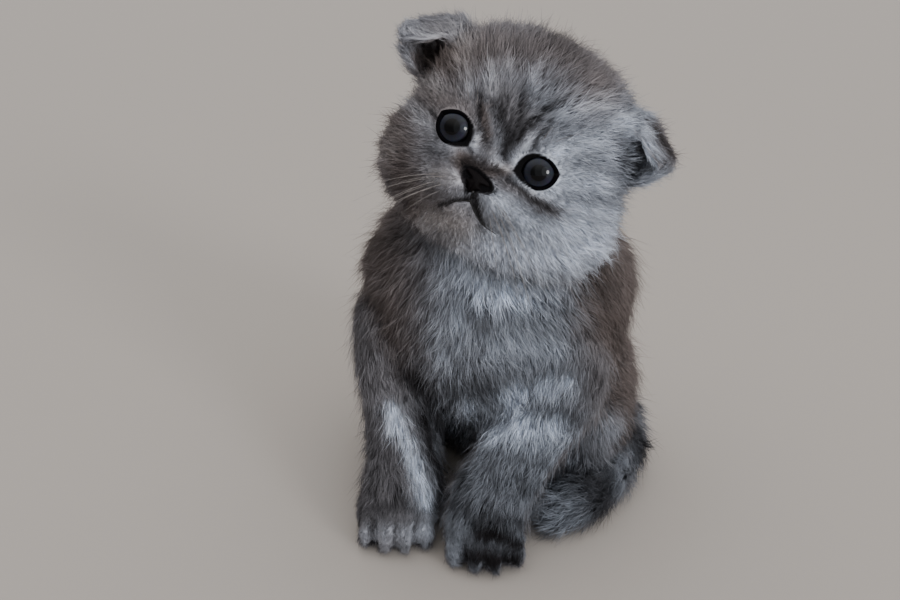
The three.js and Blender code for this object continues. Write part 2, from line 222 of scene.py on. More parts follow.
def spread(values, edges, rounds):
    """Values of a mesh's vertices, each drawn halfway to the mean of its neighbours, again and again."""
    count = len(values)
    values = values.reshape(count, -1).copy()
    ends = np.concatenate([edges[:, 0], edges[:, 1]])
    others = np.concatenate([edges[:, 1], edges[:, 0]])
    valence = np.maximum(np.bincount(ends, minlength=count), 1)
    for _ in range(rounds):
        for column in range(values.shape[1]):
            total = np.bincount(ends, weights=values[others, column], minlength=count)
            values[:, column] = (values[:, column] + total / valence) / 2
    return values


def cloudy(points, grain, seed):
    """Soft noise from -1 to 1 whose patches are about grain across."""
    offset = Vector((seed * 7.3, seed * 3.1, seed * 5.7))
    return np.array([noise.noise(Vector(p) / grain + offset) for p in points])


def swirl(points, grain):
    """Soft noise of directions, the same in each run."""
    noise.seed_set(SWIRL_SEED)
    return np.array([noise.noise_vector(Vector(p) / grain) for p in points])


def nearest_finder(points):
    """A function that gives the number of the nearest of these points to another."""
    tree = KDTree(len(points))
    for i, point in enumerate(points):
        tree.insert(point, i)
    tree.balance()
    return lambda place: tree.find(place)[1]


def thirds(rng, count):
    """Random places in a triangle, as shares of its corners."""
    u, v = rng.random((2, count))
    over = u + v > 1
    u[over], v[over] = 1 - u[over], 1 - v[over]
    return np.stack([1 - u - v, u, v], 1)


def within(corner_values, shares):
    """Values at places in triangles, from those at the corners."""
    return np.einsum("ij...,ij->i...", corner_values, shares)


def triangle_areas(corners):
    a, b, c = corners.transpose(1, 0, 2)
    return np.linalg.norm(np.cross(b - a, c - a), axis=1) / 2


# Reading and writing meshes

ATTRIBUTE_KINDS = {1: ("FLOAT", "value"), 3: ("FLOAT_VECTOR", "vector"), 4: ("FLOAT_COLOR", "color")}


def read(source, field, width, number=float):
    """One field of all vertices, edges or other parts of a mesh, with a row for each."""
    values = np.empty(len(source) * width, number)
    source.foreach_get(field, values)
    return values.reshape(-1, width)


def read_points(mesh):
    return read(mesh.vertices, "co", 3)


def read_normals(mesh):
    return read(mesh.vertex_normals, "vector", 3)


def read_triangles(mesh):
    """The vertices of each triangle."""
    mesh.calc_loop_triangles()
    return read(mesh.loop_triangles, "vertices", 3, np.int32)


def read_attribute(mesh, name, width=1):
    values = read(mesh.attributes[name].data, ATTRIBUTE_KINDS[width][1], width)
    return values if width > 1 else values[:, 0]


def write_attribute(mesh, name, values):
    kind, field = ATTRIBUTE_KINDS[values.shape[1] if values.ndim > 1 else 1]
    attribute = mesh.attributes.new(name, kind, "POINT")
    attribute.data.foreach_set(field, np.ascontiguousarray(values, float).ravel())


def write_colours(mesh, colours):
    write_attribute(mesh, "coat", np.hstack([colours, np.ones((len(colours), 1))]))


# Pieces

def show(name, mesh, material, slot, *nodes):
    """Puts a finished mesh in the scene as a piece of the kitten."""
    mesh.materials.append(material)
    piece = bpy.data.objects.new(name, mesh)
    bpy.context.scene.collection.objects.link(piece)
    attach(piece, "root")
    if nodes:
        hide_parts(*nodes)


def put(bm, points):
    """Moves the vertices of a bmesh to new places."""
    for vert, point in zip(bm.verts, points):
        vert.co = point


def finished(bm, name):
    """A smooth mesh from a bmesh, with its faces pointing outwards."""
    bmesh.ops.recalc_face_normals(bm, faces=bm.faces)
    for face in bm.faces:
        face.smooth = True
    mesh = bpy.data.meshes.new(name)
    bm.to_mesh(mesh)
    bm.free()
    return mesh


def with_modifiers(mesh, *steps):
    """A copy of a mesh after modifiers, each given as its type and its settings."""
    scratch = bpy.data.objects.new("scratch", mesh)
    bpy.context.scene.collection.objects.link(scratch)
    for kind, settings in steps:
        modifier = scratch.modifiers.new(kind.lower(), kind)
        for key, value in settings.items():
            setattr(modifier, key, value)
    shaped = scratch.evaluated_get(bpy.context.evaluated_depsgraph_get())
    result = bpy.data.meshes.new_from_object(shaped)
    bpy.data.objects.remove(scratch)
    return result


def tube(bm, points, radii, sides, closed=False):
    """A tube through points, with its own radius at each, and capped unless it closes on itself."""
    last = len(points) - 1
    rings = []
    for i, (point, radius) in enumerate(zip(points, radii)):
        if closed:
            ahead = points[(i + 1) % len(points)] - points[i - 1]
        else:
            ahead = points[min(i + 1, last)] - points[max(i - 1, 0)]
        turn = Vector(ahead).to_track_quat("Z", "Y").to_matrix().to_4x4()
        placed = Matrix.Translation(Vector(point)) @ turn
        ring = bmesh.ops.create_circle(bm, segments=sides, radius=radius, matrix=placed)
        rings.append({edge for vert in ring["verts"] for edge in vert.link_edges})
    pairs = list(zip(rings, rings[-1:] + rings[:-1]))
    for ring, before in pairs if closed else pairs[1:]:
        bmesh.ops.bridge_loops(bm, edges=list(ring | before))
    if not closed:
        for end in (rings[0], rings[-1]):
            bmesh.ops.contextual_create(bm, geom=list(end))


# The parts of the body and their coat

class Region(NamedTuple):
    """How the coat grows on one part of the body. Lengths are in millimetres."""

    nodes: tuple
    depth: float  # from the coat's outline down to the skin
    length: float
    lift: float  # of the tufts from the skin, in degrees
    density: float  # tufts on a square millimetre
    width: float


REGIONS = {
    "head": Region(("head", "nose", "eye_left", "eye_right"), 2.4, 8.2, 22, 6.1, 0.17),
    "ears": Region(("ear_left", "ear_right"), 0.6, 5, 19, 6.5, 0.15),
    "neck": Region(("neck",), 3.8, 10.5, 22, 5, 0.18),
    "torso": Region(("torso",), 4.2, 10.5, 21, 4.2, 0.19),
    "forelegs": Region(("foreleg_left", "foreleg_right"), 3, 8.8, 25, 5, 0.2),
    "forepaws": Region(("forepaw_left", "forepaw_right"), 0.9, 3.2, 20, 8, 0.16),
    "thighs": Region(("thigh_left", "thigh_right"), 4, 10.5, 22, 4, 0.21),
    "hindpaws": Region(("hindpaw_left", "hindpaw_right"), 0.9, 3.4, 20, 3.6, 0.2),
    "tail": Region(("tail_base", "tail_tip"), 3.6, 10.5, 38, 5.4, 0.23),
}
NUMBER = {name: i for i, name in enumerate(REGIONS)}
FINELY_SHAPED = ("head", "ears", "forepaws", "hindpaws")
SAMPLE_AREA = 1.6e-6  # of a node for each point that its region is read from
PAW_TURNS = {"forepaws": math.radians(17), "hindpaws": 0}
TOE_PITCH = 0.222  # from one toe's middle to the next, as a share of the paw's width
CREASE_MM = 0.8  # how far a crease between toes reaches to each side
TAIL_ROUND_MM = (2, 10)  # the place on the floor that the tail lies round


def node_points():
    """Points spread over every node, and the number of the region that each belongs to."""
    rng = np.random.default_rng(3)
    points, regions = [], []
    for number, region in enumerate(REGIONS.values()):
        for name in region.nodes:
            mesh = frame["nodes"][name].data
            corners = read_points(mesh)[read_triangles(mesh)]
            area = triangle_areas(corners)
            count = int(area.sum() / SAMPLE_AREA)
            pick = rng.choice(len(area), count, p=area / area.sum())
            points.append(within(corners[pick], thirds(rng, count)))
            regions.append(np.full(count, number))
    return np.vstack(points), np.concatenate(regions)


def region_shares(points, edges):
    """How much each vertex belongs to each region, with soft borders."""
    samples, regions = node_points()
    nearest = nearest_finder(samples)
    shares = np.zeros((len(points), len(REGIONS)))
    shares[np.arange(len(points)), regions[[nearest(p) for p in points]]] = 1
    return spread(shares, edges, 14)


def by_region(shares, field):
    """A field of the regions at each point, by its shares of them."""
    return shares @ np.array([getattr(region, field) for region in REGIONS.values()], float)


# The face

SHORT_AT_NOSE = 0.27  # these are shares of the full length of the head's coat
SHORT_AT_LIDS = 0.5
SHORT_AT_LIPS = 0.6


def on_face(q, distances):
    """Distances seen from in front, for points of the face alone."""
    return np.where(q[:, 1] < EYE_BACK_MM, distances, BEHIND)


def lid_share(q, side):
    """How far out a point of the face is from an eye's middle, 1 being the edge of the lids."""
    x, _, z = ((q - eye_centre_mm(side)) * [side, 1, 1]).T
    around = np.arctan2(z, x)
    stretch = np.ones(len(q))
    for corner, reach in zip(LID_CORNERS, CORNER_REACH):
        stretch += reach * np.exp(-np.abs(np.sin((around - corner) / 2)) / CORNER_BREADTH)
    return on_face(q, np.hypot(x / LID_OPENING_MM[0], z / LID_OPENING_MM[1]) / stretch)


def nearest_lid(q):
    return np.minimum(lid_share(q, 1), lid_share(q, -1))


def off_mouth(q):
    return on_face(q, np.min([off_line(q[:, [0, 2]], line) for line in MOUTH_MM], axis=0))


def nose_narrowing(up):
    """How wide the leather of the nose is at a height from -1 to 1, as a share of its width above."""
    return 1 - 0.86 * ramp(0.7, -1, up)


def off_nose(q):
    """How far outside the leather of the nose a point is, 1 being its edge."""
    x, _, z = ((q - NOSE_MIDDLE_MM) @ NOSE_TURNED).T
    half_width, _, half_height = NOSE_HALF_MM
    up = z / half_height
    return on_face(q, np.hypot(x / half_width / nose_narrowing(up), up))


def face_growth(q):
    """Share of the head's full coat length at each point: least round the nose, lips and lids."""
    growth = SHORT_AT_NOSE + (1 - SHORT_AT_NOSE) * ramp(4, 34, np.linalg.norm(q - NOSE_TIP_MM, axis=1))
    growth *= SHORT_AT_LIDS + (1 - SHORT_AT_LIDS) * ramp(1.15, 2.8, nearest_lid(q))
    return growth * (SHORT_AT_LIPS + (1 - SHORT_AT_LIPS) * ramp(0.4, 2.6, off_mouth(q)))


# Markings

class Mark(NamedTuple):
    """A streak or patch of the coat, along points of the 900 by 600 picture, in pixels."""

    points: list
    width: float
    strength: float


def strongest(marks, picture):
    """The strength of the strongest mark at each point of the picture."""
    return np.max([m.strength * bell(off_line(picture, m.points) / m.width) for m in marks], axis=0)


HEAD_DARK_MARKS_PX = [
    Mark([(457, 170), (466, 190)], 3.4, 0.6),
    Mark([(500, 178), (506, 188)], 3.4, 0.5),
    Mark([(479, 92), (481, 106), (482, 118), (485, 127), (487, 138)], 4.6, 0.95),
    Mark([(499, 100), (506, 120), (511, 137), (504, 154)], 8.5, 0.95),
    Mark([(482, 128), (487, 142), (492, 150)], 6, 0.8),
    Mark([(526, 92), (522, 112), (519, 128), (509, 150)], 6, 0.85),
    Mark([(566, 102), (546, 109), (534, 118), (526, 129), (518, 139)], 4.6, 1),
    Mark([(553, 121), (541, 137), (534, 146)], 3.6, 0.85),
    Mark([(538, 150), (552, 140), (574, 136)], 5, 0.3),
    Mark([(560, 128), (580, 120), (600, 116)], 3, 0.35),
    Mark([(546, 88), (566, 78), (584, 78)], 4, 0.45),
    Mark([(506, 180), (528, 197), (546, 207), (560, 213)], 5.6, 0.9),
    Mark([(500, 140), (506, 172)], 12, 0.4),
    Mark([(478, 130), (488, 152)], 8, 0.3),
    Mark([(496, 74), (512, 84)], 9, 0.25),
    Mark([(505, 174), (517, 169)], 3, 0.6),
    Mark([(540, 214), (556, 226), (566, 240)], 3, 0.4),
    Mark([(571, 199), (596, 204)], 4.2, 0.55),
    Mark([(565, 175), (569, 178)], 2.4, 0.8),
    Mark([(432, 111), (437, 116)], 2.6, 0.85),
    Mark([(424, 148), (436, 154), (446, 152)], 2.8, 0.55),
    Mark([(392, 128), (398, 152), (404, 172)], 5, 0.25),
    Mark([(404, 178), (412, 200)], 9, 0.3),
    Mark([(466, 144), (474, 150), (476, 160)], 3, 0.8),
    Mark([(462, 163), (480, 160), (499, 172)], 8, 0.88),
    Mark([(458, 168), (452, 178)], 4, 0.4),
    # These three follow the line of the mouth: its dark lip edge, with painted shade of its crease beside
    # it
    Mark([(474, 194), (474, 201), (479, 214), (484, 228)], 4.6, 0.97),
    Mark([(484, 228), (492, 232), (506, 239)], 2.6, 0.5),
    Mark([(473, 200), (463, 201), (450, 203), (442, 207)], 3.4, 0.97),
    Mark([(467, 192), (475, 198)], 4, 0.95),
    Mark([(466, 193), (478, 196), (491, 193)], 2.8, 0.9),
    Mark([(500, 208), (516, 224)], 1.2, 0.5),
    Mark([(493, 214), (506, 226)], 1.2, 0.45),
    Mark([(520, 44), (532, 66)], 8, 0.3),
    Mark([(546, 38), (572, 56)], 11, 0.42),
    Mark([(478, 44), (484, 70)], 6, 0.3),
    Mark([(452, 60), (462, 88)], 5, 0.3),
    Mark([(420, 63), (426, 52), (434, 46)], 7, 0.25),
    Mark([(621, 144), (628, 168)], 6, 0.6),
    Mark([(653, 128), (670, 158)], 4.5, 0.75),
]
HEAD_PALE_MARKS_PX = [
    Mark([(536, 132), (526, 146), (516, 157), (509, 168)], 3, 0.55),
    Mark([(494, 150), (499, 161), (505, 170)], 3.6, 0.75),
    Mark([(481, 134), (477, 144)], 3, 0.8),
    Mark([(424, 169), (454, 174)], 4, 0.5),
    Mark([(428, 180), (458, 186)], 4.5, 0.45),
    Mark([(503, 207), (529, 225)], 8, 0.75),
    Mark([(522, 183), (533, 195), (549, 198), (562, 188)], 3, 1),
    Mark([(566, 182), (602, 186)], 14, 0.75),
    Mark([(572, 206), (606, 216)], 13, 0.75),
    Mark([(555, 152), (604, 140)], 12, 0.6),
    Mark([(570, 112), (604, 106)], 9, 0.5),
    Mark([(556, 232), (606, 236)], 15, 0.95),
    Mark([(404, 98), (424, 126)], 8, 0.5),
    Mark([(408, 78), (438, 88)], 8, 0.5),
    Mark([(464, 50), (470, 90)], 6, 0.35),
    Mark([(492, 66), (496, 92)], 7, 0.6),
    Mark([(509, 58), (512, 80)], 4, 0.45),
    Mark([(540, 62), (538, 86)], 5, 0.4),
    Mark([(450, 30), (470, 44)], 8, 0.4),
    Mark([(466, 246), (500, 254), (545, 262), (598, 250)], 15, 1),
    Mark([(484, 238), (540, 244)], 10, 0.6),
    Mark([(410, 30), (430, 36), (454, 30)], 7, 0.5),
    Mark([(396, 132), (390, 158)], 5, 0.35),
    Mark([(428, 220), (450, 224), (472, 236)], 11, 0.7),
    Mark([(410, 186), (424, 206)], 5, 0.3),
    Mark([(400, 64), (404, 48)], 4, 0.4),
    Mark([(619, 120), (640, 135), (654, 162)], 7, 1),
    Mark([(608, 132), (614, 158)], 6, 0.7),
]
HEAD_BROWN_MARKS_PX = [
    Mark([(394, 120), (398, 165), (418, 205)], 24, 0.7),
    Mark([(430, 212), (462, 224)], 20, 0.6),
    Mark([(484, 106), (489, 134)], 8, 0.95),
    Mark([(462, 162), (500, 172)], 12, 1),
    Mark([(505, 186), (560, 214)], 7, 0.6),
    Mark([(440, 60), (500, 46), (560, 50), (600, 84)], 30, 0.85),
    Mark([(500, 90), (520, 120)], 26, 0.55),
    Mark([(430, 90), (470, 110)], 26, 0.6),
    Mark([(440, 176), (462, 180)], 16, 0.45),
    Mark([(484, 140), (492, 150)], 10, 0.5),
    Mark([(420, 60), (436, 46)], 14, 1),
    Mark([(655, 128), (672, 160)], 7, 0.9),
]
MARKED_HEAD_MM = (9, -2)  # from behind forwards, where the markings seen in front come in
GREY_TO_WARM_PX = (510, 430)  # across the face


def head_tones(points):
    """Brown, pale and dark shares of the coat of the head and ears."""
    q = to_head(points)
    picture = seen_at(points) + 2 * np.stack([cloudy(q, 5, 1), cloudy(q, 5, 2)], 1)
    front = ramp(*MARKED_HEAD_MM, q[:, 1])
    warmth = 0.2 * ramp(*GREY_TO_WARM_PX, picture[:, 0]) + 0.7 * strongest(HEAD_BROWN_MARKS_PX, picture)
    brown = 0.25 + front * warmth + (1 - front) * 0.75
    pale = front * strongest(HEAD_PALE_MARKS_PX, picture)
    stripes = 0.22 * wave(q[:, 0] * 0.7 + 4 * cloudy(q, 9, 12))
    dark = front * strongest(HEAD_DARK_MARKS_PX, picture) + (1 - front) * stripes
    lined_lids = 0.85 * ramp(1.42, 1.22, nearest_lid(q)) * (1 - 0.8 * pale)
    round_nose = 0.95 * ramp(1.35, 1.05, off_nose(q))
    dark = np.maximum.reduce([dark, lined_lids, round_nose])
    return brown.clip(0, 1), pale, dark * (1 - 0.5 * pale)


BODY_PALE_MARKS_PX = [
    Mark([(462, 254), (500, 254), (545, 262), (592, 250)], 13, 0.9),
    Mark([(478, 302), (530, 306)], 10, 1),
    Mark([(450, 272), (470, 284)], 8, 0.5),
    Mark([(440, 290), (470, 296)], 9, 0.45),
    Mark([(535, 300), (582, 290)], 9, 0.45),
    Mark([(458, 322), (463, 350)], 6, 0.6),
    Mark([(438, 338), (443, 366)], 7, 0.5),
    Mark([(500, 348), (560, 352)], 12, 0.45),
    Mark([(510, 398), (562, 389)], 12, 1),
    Mark([(514, 398), (520, 440)], 12, 0.8),
    Mark([(496, 444), (520, 432), (552, 430)], 11, 0.85),
    Mark([(472, 408), (472, 420)], 8, 0.7),
    Mark([(393, 412), (404, 444), (415, 478), (423, 508)], 7.5, 1),
    Mark([(370, 537), (425, 537)], 12, 0.35),
    Mark([(542, 474), (540, 492)], 5, 0.25),
    Mark([(500, 478), (508, 500)], 6, 0.25),
    Mark([(600, 432), (620, 430)], 10, 0.2),
    Mark([(608, 480), (604, 515)], 4, 0.4),
]
BODY_DARK_MARKS_PX = [
    Mark([(362, 300), (358, 400)], 18, 0.5),
    Mark([(478, 396), (500, 404)], 16, 0.5),
    Mark([(496, 486), (566, 502)], 22, 0.6),
    Mark([(421, 420), (429, 450), (441, 492)], 10, 1),
    Mark([(384, 440), (392, 480), (400, 500)], 9, 0.6),
    Mark([(448, 470), (446, 500)], 14, 0.95),
    Mark([(385, 250), (405, 260)], 10, 0.5),
    Mark([(422, 276), (414, 300)], 8, 0.4),
    Mark([(474, 320), (494, 332)], 9, 0.6),
    Mark([(486, 286), (540, 284)], 6, 0.3),
    Mark([(492, 284), (548, 283)], 6, 0.3),
    Mark([(408, 372), (428, 400), (440, 436)], 14, 0.9),
    Mark([(450, 390), (490, 386), (502, 402)], 10, 0.7),
    Mark([(455, 440), (460, 480)], 16, 1),
    Mark([(535, 408), (574, 418)], 8, 0.6),
    Mark([(372, 420), (368, 480)], 10, 0.5),
    Mark([(410, 500), (382, 514)], 9, 0.8),
    Mark([(500, 374), (548, 378)], 7, 0.4),
    Mark([(560, 380), (600, 400)], 22, 0.45),
    Mark([(566, 250), (600, 300)], 14, 0.3),
    Mark([(492, 458), (556, 466)], 8, 0.55),
    Mark([(478, 522), (524, 528)], 11, 0.9),
    Mark([(478, 538), (526, 548)], 15, 1),
    Mark([(476, 558), (526, 566)], 22, 1),
    Mark([(440, 500), (448, 520)], 10, 0.6),
    Mark([(362, 556), (430, 556)], 12, 0.5),
    Mark([(362, 524), (430, 530)], 16, 0.5),
    Mark([(500, 478), (540, 500)], 16, 0.3),
    Mark([(452, 300), (470, 304)], 14, 0.25),
    Mark([(378, 420), (376, 500)], 14, 0.55),
    Mark([(576, 420), (584, 470)], 12, 0.45),
    Mark([(412, 440), (426, 500)], 8, 0.3),
    Mark([(366, 512), (404, 514)], 9, 0.6),
    Mark([(446, 530), (458, 560)], 13, 0.45),
    Mark([(452, 500), (470, 520)], 10, 0.8),
    Mark([(575, 480), (590, 515)], 14, 0.9),
    Mark([(625, 470), (628, 500)], 9, 0.7),
]
BROWN_SIDES_PX = ((455, 390), (552, 596))  # where the front turns brown, on each side of the picture
GREY_THIGH_PX = ((500, 540), (400, 440))  # where the thigh comes in, across and down the picture
BACK_BANDS_MM = 19  # from each dark band of the back to the next
LOW_LEGS_MM = (40, 14)  # the height at which the legs begin to darken, and where they are darkest
TAIL_RINGS = 9


def body_tones(points, normals):
    """Brown, pale and dark shares of the body, legs and tail."""
    p = points / MM
    picture = seen_at(points) + 5 * np.stack([cloudy(p, 7, 14), cloudy(p, 7, 15)], 1)
    across, down = picture.T
    seen = ramp(0.05, 0.45, np.sum(normals * unit(np.array(CAMERA_AT) - points), axis=1))
    brown_right, brown_left = (ramp(*edges, across) for edges in BROWN_SIDES_PX)
    brown = 0.22 + 0.78 * np.maximum.reduce([brown_right * 0.9, brown_left, 1 - seen])
    thigh_across, thigh_down = GREY_THIGH_PX
    brown *= 1 - 0.6 * seen * ramp(*thigh_across, across) * ramp(*thigh_down, down)
    rough = cloudy(p, 9, 4)
    bands = wave(2 * math.pi * (p[:, 2] + 0.4 * p[:, 1] + 9 * rough) / BACK_BANDS_MM)
    dark = (1 - seen) * 0.26 * bands + 0.09 * (1 + rough)
    dark = np.maximum(dark, seen * strongest(BODY_DARK_MARKS_PX, picture))
    pale = seen * strongest(BODY_PALE_MARKS_PX, picture)
    return brown * (1 - 0.8 * pale), pale, dark * (1 - 0.6 * pale)


def paw_creases(points):
    """How deep in a crease between two toes each point is, from 0 to 1."""
    flat, height = points[:, :2] / MM, points[:, 2] / MM
    crease = np.zeros(len(points))
    for kind, turn in PAW_TURNS.items():
        along = np.array([math.sin(turn), -math.cos(turn)])
        across = np.array([math.cos(turn), math.sin(turn)])
        for name in REGIONS[kind].nodes:
            outline = read_points(frame["nodes"][name].data)[:, :2] / MM
            width = np.ptp(outline @ across)
            beside = flat @ across - ((outline @ across).min() + width / 2)
            to_crease = np.min([np.abs(beside - place * width * TOE_PITCH) for place in (-1, 0, 1)], axis=0)
            front = ramp(10, 6.5, (outline @ along).max() - flat @ along)
            front *= ramp(13, 10, height) * (np.abs(beside) < width / 2)
            crease = np.maximum(crease, front * bell(to_crease / CREASE_MM))
    return crease


def limb_tones(points, normals):
    """The legs and paws are darker downwards, with painted shade in the creases between the toes."""
    brown, pale, dark = body_tones(points, normals)
    low = 0.42 * ramp(*LOW_LEGS_MM, points[:, 2] / MM) * (1 - pale)
    # painted shade: the creases between the toes are darkened as if in shadow
    return brown * 0.7, pale, np.maximum.reduce([dark, 0.95 * paw_creases(points), low])


def tail_tones(points, normals):
    """The tail is black, with grey rings."""
    brown, pale, dark = body_tones(points, normals)
    across, back = (points[:, :2] / MM - TAIL_ROUND_MM).T
    rings = wave(np.arctan2(back, across) * TAIL_RINGS + cloudy(points / MM, 6, 6))
    return brown * 0.5, np.maximum(pale, 0.22 * (1 - rings)), np.maximum(dark, 0.5 + 0.4 * rings)


def coat_colours(points, normals, shares):
    """The colour of the coat that shows at points on the outside of each part."""
    tones = dict.fromkeys(("head", "ears"), head_tones(points))
    tones |= dict.fromkeys(("neck", "torso", "thighs"), body_tones(points, normals))
    tones |= dict.fromkeys(("forelegs", "forepaws", "hindpaws"), limb_tones(points, normals))
    tones["tail"] = tail_tones(points, normals)
    brown, pale, dark = np.einsum("rkn,nr->kn", np.array([tones[name] for name in REGIONS]), shares)
    colours = bpy.context.scene.kitten_colours
    coat = mixed(np.array(colours.silver), np.array(colours.brown), brown)
    pale_hair = mixed(np.array(colours.pale), np.array(colours.pale_warm), brown)
    coat = mixed(coat, pale_hair, pale)
    coat = mixed(coat, np.array(colours.dark), dark)
    patchy = 1 + 0.14 * cloudy(points, 0.006, 8) + 0.1 * cloudy(points, 0.002, 9)
    return coat * np.array(colours.cast) * patchy[:, None]


# The way the coat lies

SIDE_REACH = 0.012  # how far from the body's middle the coat leans fully to a side


def region_lies(points):
    """The way the coat points in each region, before it is laid on the skin."""
    q = to_head(points)
    side = ((points[:, 0] - BODY_MIDDLE.x) / SIDE_REACH).clip(-1, 1)
    toes = PAW_TURNS["forepaws"]
    across, back = (points[:, :2] - np.array(TAIL_ROUND_MM) * MM).T

    def way(x, y, z):
        return np.ones((len(points), 3)) * np.stack(np.broadcast_arrays(x, y, z), -1)

    return {
        "head": unit(q - NOSE_TIP_MM + [0, 6, 0]) @ HEAD_AXES.T + [0, 0, -0.25],
        "ears": way(0.75 * np.sign(q[:, 0]), -0.6, 0.25) @ HEAD_AXES.T,
        "neck": way(0.2 * side, 0.2, -1),
        "torso": way(0.3 * side, 0.2, -1),
        "forelegs": way(-0.2 * side, -0.42, -1),
        "forepaws": way(math.sin(toes), -math.cos(toes), -0.3),
        "thighs": way(0, 0.35, -1),
        "hindpaws": way(0, -1, -0.2),
        "tail": way(back, -across, 0),
    }


def lie_of_coat(points, normals, shares, edges):
    """The way the tufts point along the skin, turned aside where they would run into an eye."""
    ways = region_lies(points)
    lie = sum(unit(ways[name]) * shares[:, [i]] for name, i in NUMBER.items())
    off_head = ramp(0.1, 0.6, 1 - shares[:, [NUMBER["head"]]])
    lie += 0.32 * swirl(points, 0.009) * off_head + 0.18 * swirl(points, 0.006)
    q = to_head(points)
    for side in SIDES.values():
        away = unit(q - eye_centre_mm(side)) @ HEAD_AXES.T
        near = ramp(2.6, 1.3, lid_share(q, side))[:, None]
        towards = np.minimum(np.sum(lie * away, axis=1, keepdims=True), 0)
        lie += near * away * (0.25 - 1.3 * towards)
    return along_skin(spread(lie, edges, 3), normals)


# The skin

SKIN_GRAIN = 0.00095
SEAM_SWELL = 0.00025  # of each node, so that neighbours meet
EYE_SWELL = 0.0009
LIP_GROOVE = 0.0006
LIP_GROOVE_MM = 0.5  # half its width
NOSE_BED = 0.0011  # how much deeper the skin is under the leather of the nose
TOE_GROOVE = 0.0009
EYE_HOLLOW_MM = 1.4  # of the skin behind the opening of the lids, under the ball's surface
SHOWN_ALONG = 0.55  # how far along a tuft its colour is taken from the markings


def swollen_nodes():
    """All nodes, each swollen until it meets its neighbours, as one bmesh."""
    whole = bmesh.new()
    for name, node in frame["nodes"].items():
        part = bmesh.new()
        part.from_mesh(node.data)
        bmesh.ops.remove_doubles(part, verts=part.verts, dist=1e-6)
        part.normal_update()
        swell = EYE_SWELL if name.startswith("eye") else SEAM_SWELL
        for vert in part.verts:
            vert.co += vert.normal * swell
        swollen = bpy.data.meshes.new(name + "_swollen")
        part.to_mesh(swollen)
        part.free()
        whole.from_mesh(swollen)
        bpy.data.meshes.remove(swollen)
    return whole


def refine_face(mesh):
    """Cuts the skin finer round the eyes, nose and mouth."""
    bm = bmesh.new()
    bm.from_mesh(mesh)
    q = to_head(np.array([v.co for v in bm.verts]))
    fine = (nearest_lid(q) < 2.3) | (off_mouth(q) < 2.5) | (off_nose(q) < 1.9)
    edges = [e for e in bm.edges if fine[e.verts[0].index] and fine[e.verts[1].index]]
    bmesh.ops.subdivide_edges(bm, edges=edges, cuts=1, use_grid_fill=True)
    bmesh.ops.triangulate(bm, faces=[f for f in bm.faces if len(f.verts) > 4])
    bm.to_mesh(mesh)
    bm.free()


def open_lids(q):
    """Presses the skin in behind each eye's opening, and lays it over the ball round it as a lid."""
    for side in SIDES.values():
        share = lid_share(q, side)
        out = q - eye_centre_mm(side)
        distance = np.linalg.norm(out, axis=1, keepdims=True)
        lid = np.maximum(distance, EYEBALL_RADIUS_MM + LID_THICKNESS_MM)
        laid = mixed(lid, distance, ramp(1.7, 2.4, share))
        laid = mixed(np.full_like(lid, EYEBALL_RADIUS_MM - EYE_HOLLOW_MM), laid, ramp(0.9, 1.02, share))
        q = np.where((share < 2.4)[:, None], eye_centre_mm(side) + out / distance * laid, q)
    return q


def under_coat(mesh, edges, shares, growth):
    """The places of the skin's points once it is laid under the coat, with its creases and lids."""
    points = read_points(mesh)
    normals = unit(spread(read_normals(mesh), edges, 4))
    head = shares[:, NUMBER["head"]]
    q = to_head(points)
    depth = by_region(shares, "depth") * MM * growth
    depth += head * LIP_GROOVE * bell(off_mouth(q) / LIP_GROOVE_MM)
    depth += head * NOSE_BED * ramp(1.12, 0.85, off_nose(q))
    points = points - normals * depth[:, None]
    smooth = (1 - ramp(0.2, 0.8, sum(shares[:, NUMBER[name]] for name in FINELY_SHAPED)))[:, None]
    points = points * (1 - smooth) + spread(points, edges, 10) * smooth
    points -= normals * (TOE_GROOVE * paw_creases(points))[:, None]
    return from_head(open_lids(to_head(points)))


def write_coat(mesh, edges, shares, growth):
    """Keeps on the skin what its coat is like at each vertex, and paints it the colour that shows there."""
    points = read_points(mesh)
    normals = unit(spread(read_normals(mesh), edges, 3))
    lie = lie_of_coat(points, normals, shares, edges)
    length = by_region(shares, "length") * MM * growth * bpy.context.scene.kitten_coat.length
    colours = coat_colours(points + lie * length[:, None] * SHOWN_ALONG, normals, shares)
    q = to_head(points)
    bare = np.maximum(ramp(1.2, 1.1, nearest_lid(q)), ramp(1.12, 1, off_nose(q)))
    write_colours(mesh, mixed(colours, np.array(bpy.context.scene.kitten_colours.rim), bare))
    write_attribute(mesh, "lie", lie)
    write_attribute(mesh, "length", length)
    write_attribute(mesh, "lift", np.radians(by_region(shares, "lift")))
    write_attribute(mesh, "width", by_region(shares, "width") * MM * (0.7 + 0.3 * growth))
    write_attribute(mesh, "density", by_region(shares, "density") * (1 + 2.6 * (1 - growth)))
    write_attribute(mesh, "region", np.argmax(shares, axis=1).astype(float))


class KITTEN_OT_skin(Operator):
    """Makes one skin under the coat, with lids and the line of the mouth"""

    bl_idname = "kitten.skin"
    bl_label = "Skin"

    def execute(self, context):
        mesh = with_modifiers(
            finished(swollen_nodes(), "body"),
            ("REMESH", {"mode": "VOXEL", "voxel_size": SKIN_GRAIN}),
            ("SMOOTH", {"factor": 0.5, "iterations": 5}),
        )
        refine_face(mesh)
        points = read_points(mesh)
        edges = read(mesh.edges, "vertices", 2, np.int32)
        shares = region_shares(points, edges)
        growth = 1 - shares[:, NUMBER["head"]] * (1 - face_growth(to_head(points)))
        mesh.vertices.foreach_set("co", under_coat(mesh, edges, shares, growth).ravel())
        mesh.update()
        write_coat(mesh, edges, shares, growth)
        mesh.shade_smooth()
        flesh = [name for name in frame["nodes"] if name != "nose" and not name.startswith("eye")]
        show("skin", mesh, skin_material(), "back_coat", *flesh)
        return {"FINISHED"}


# The coat

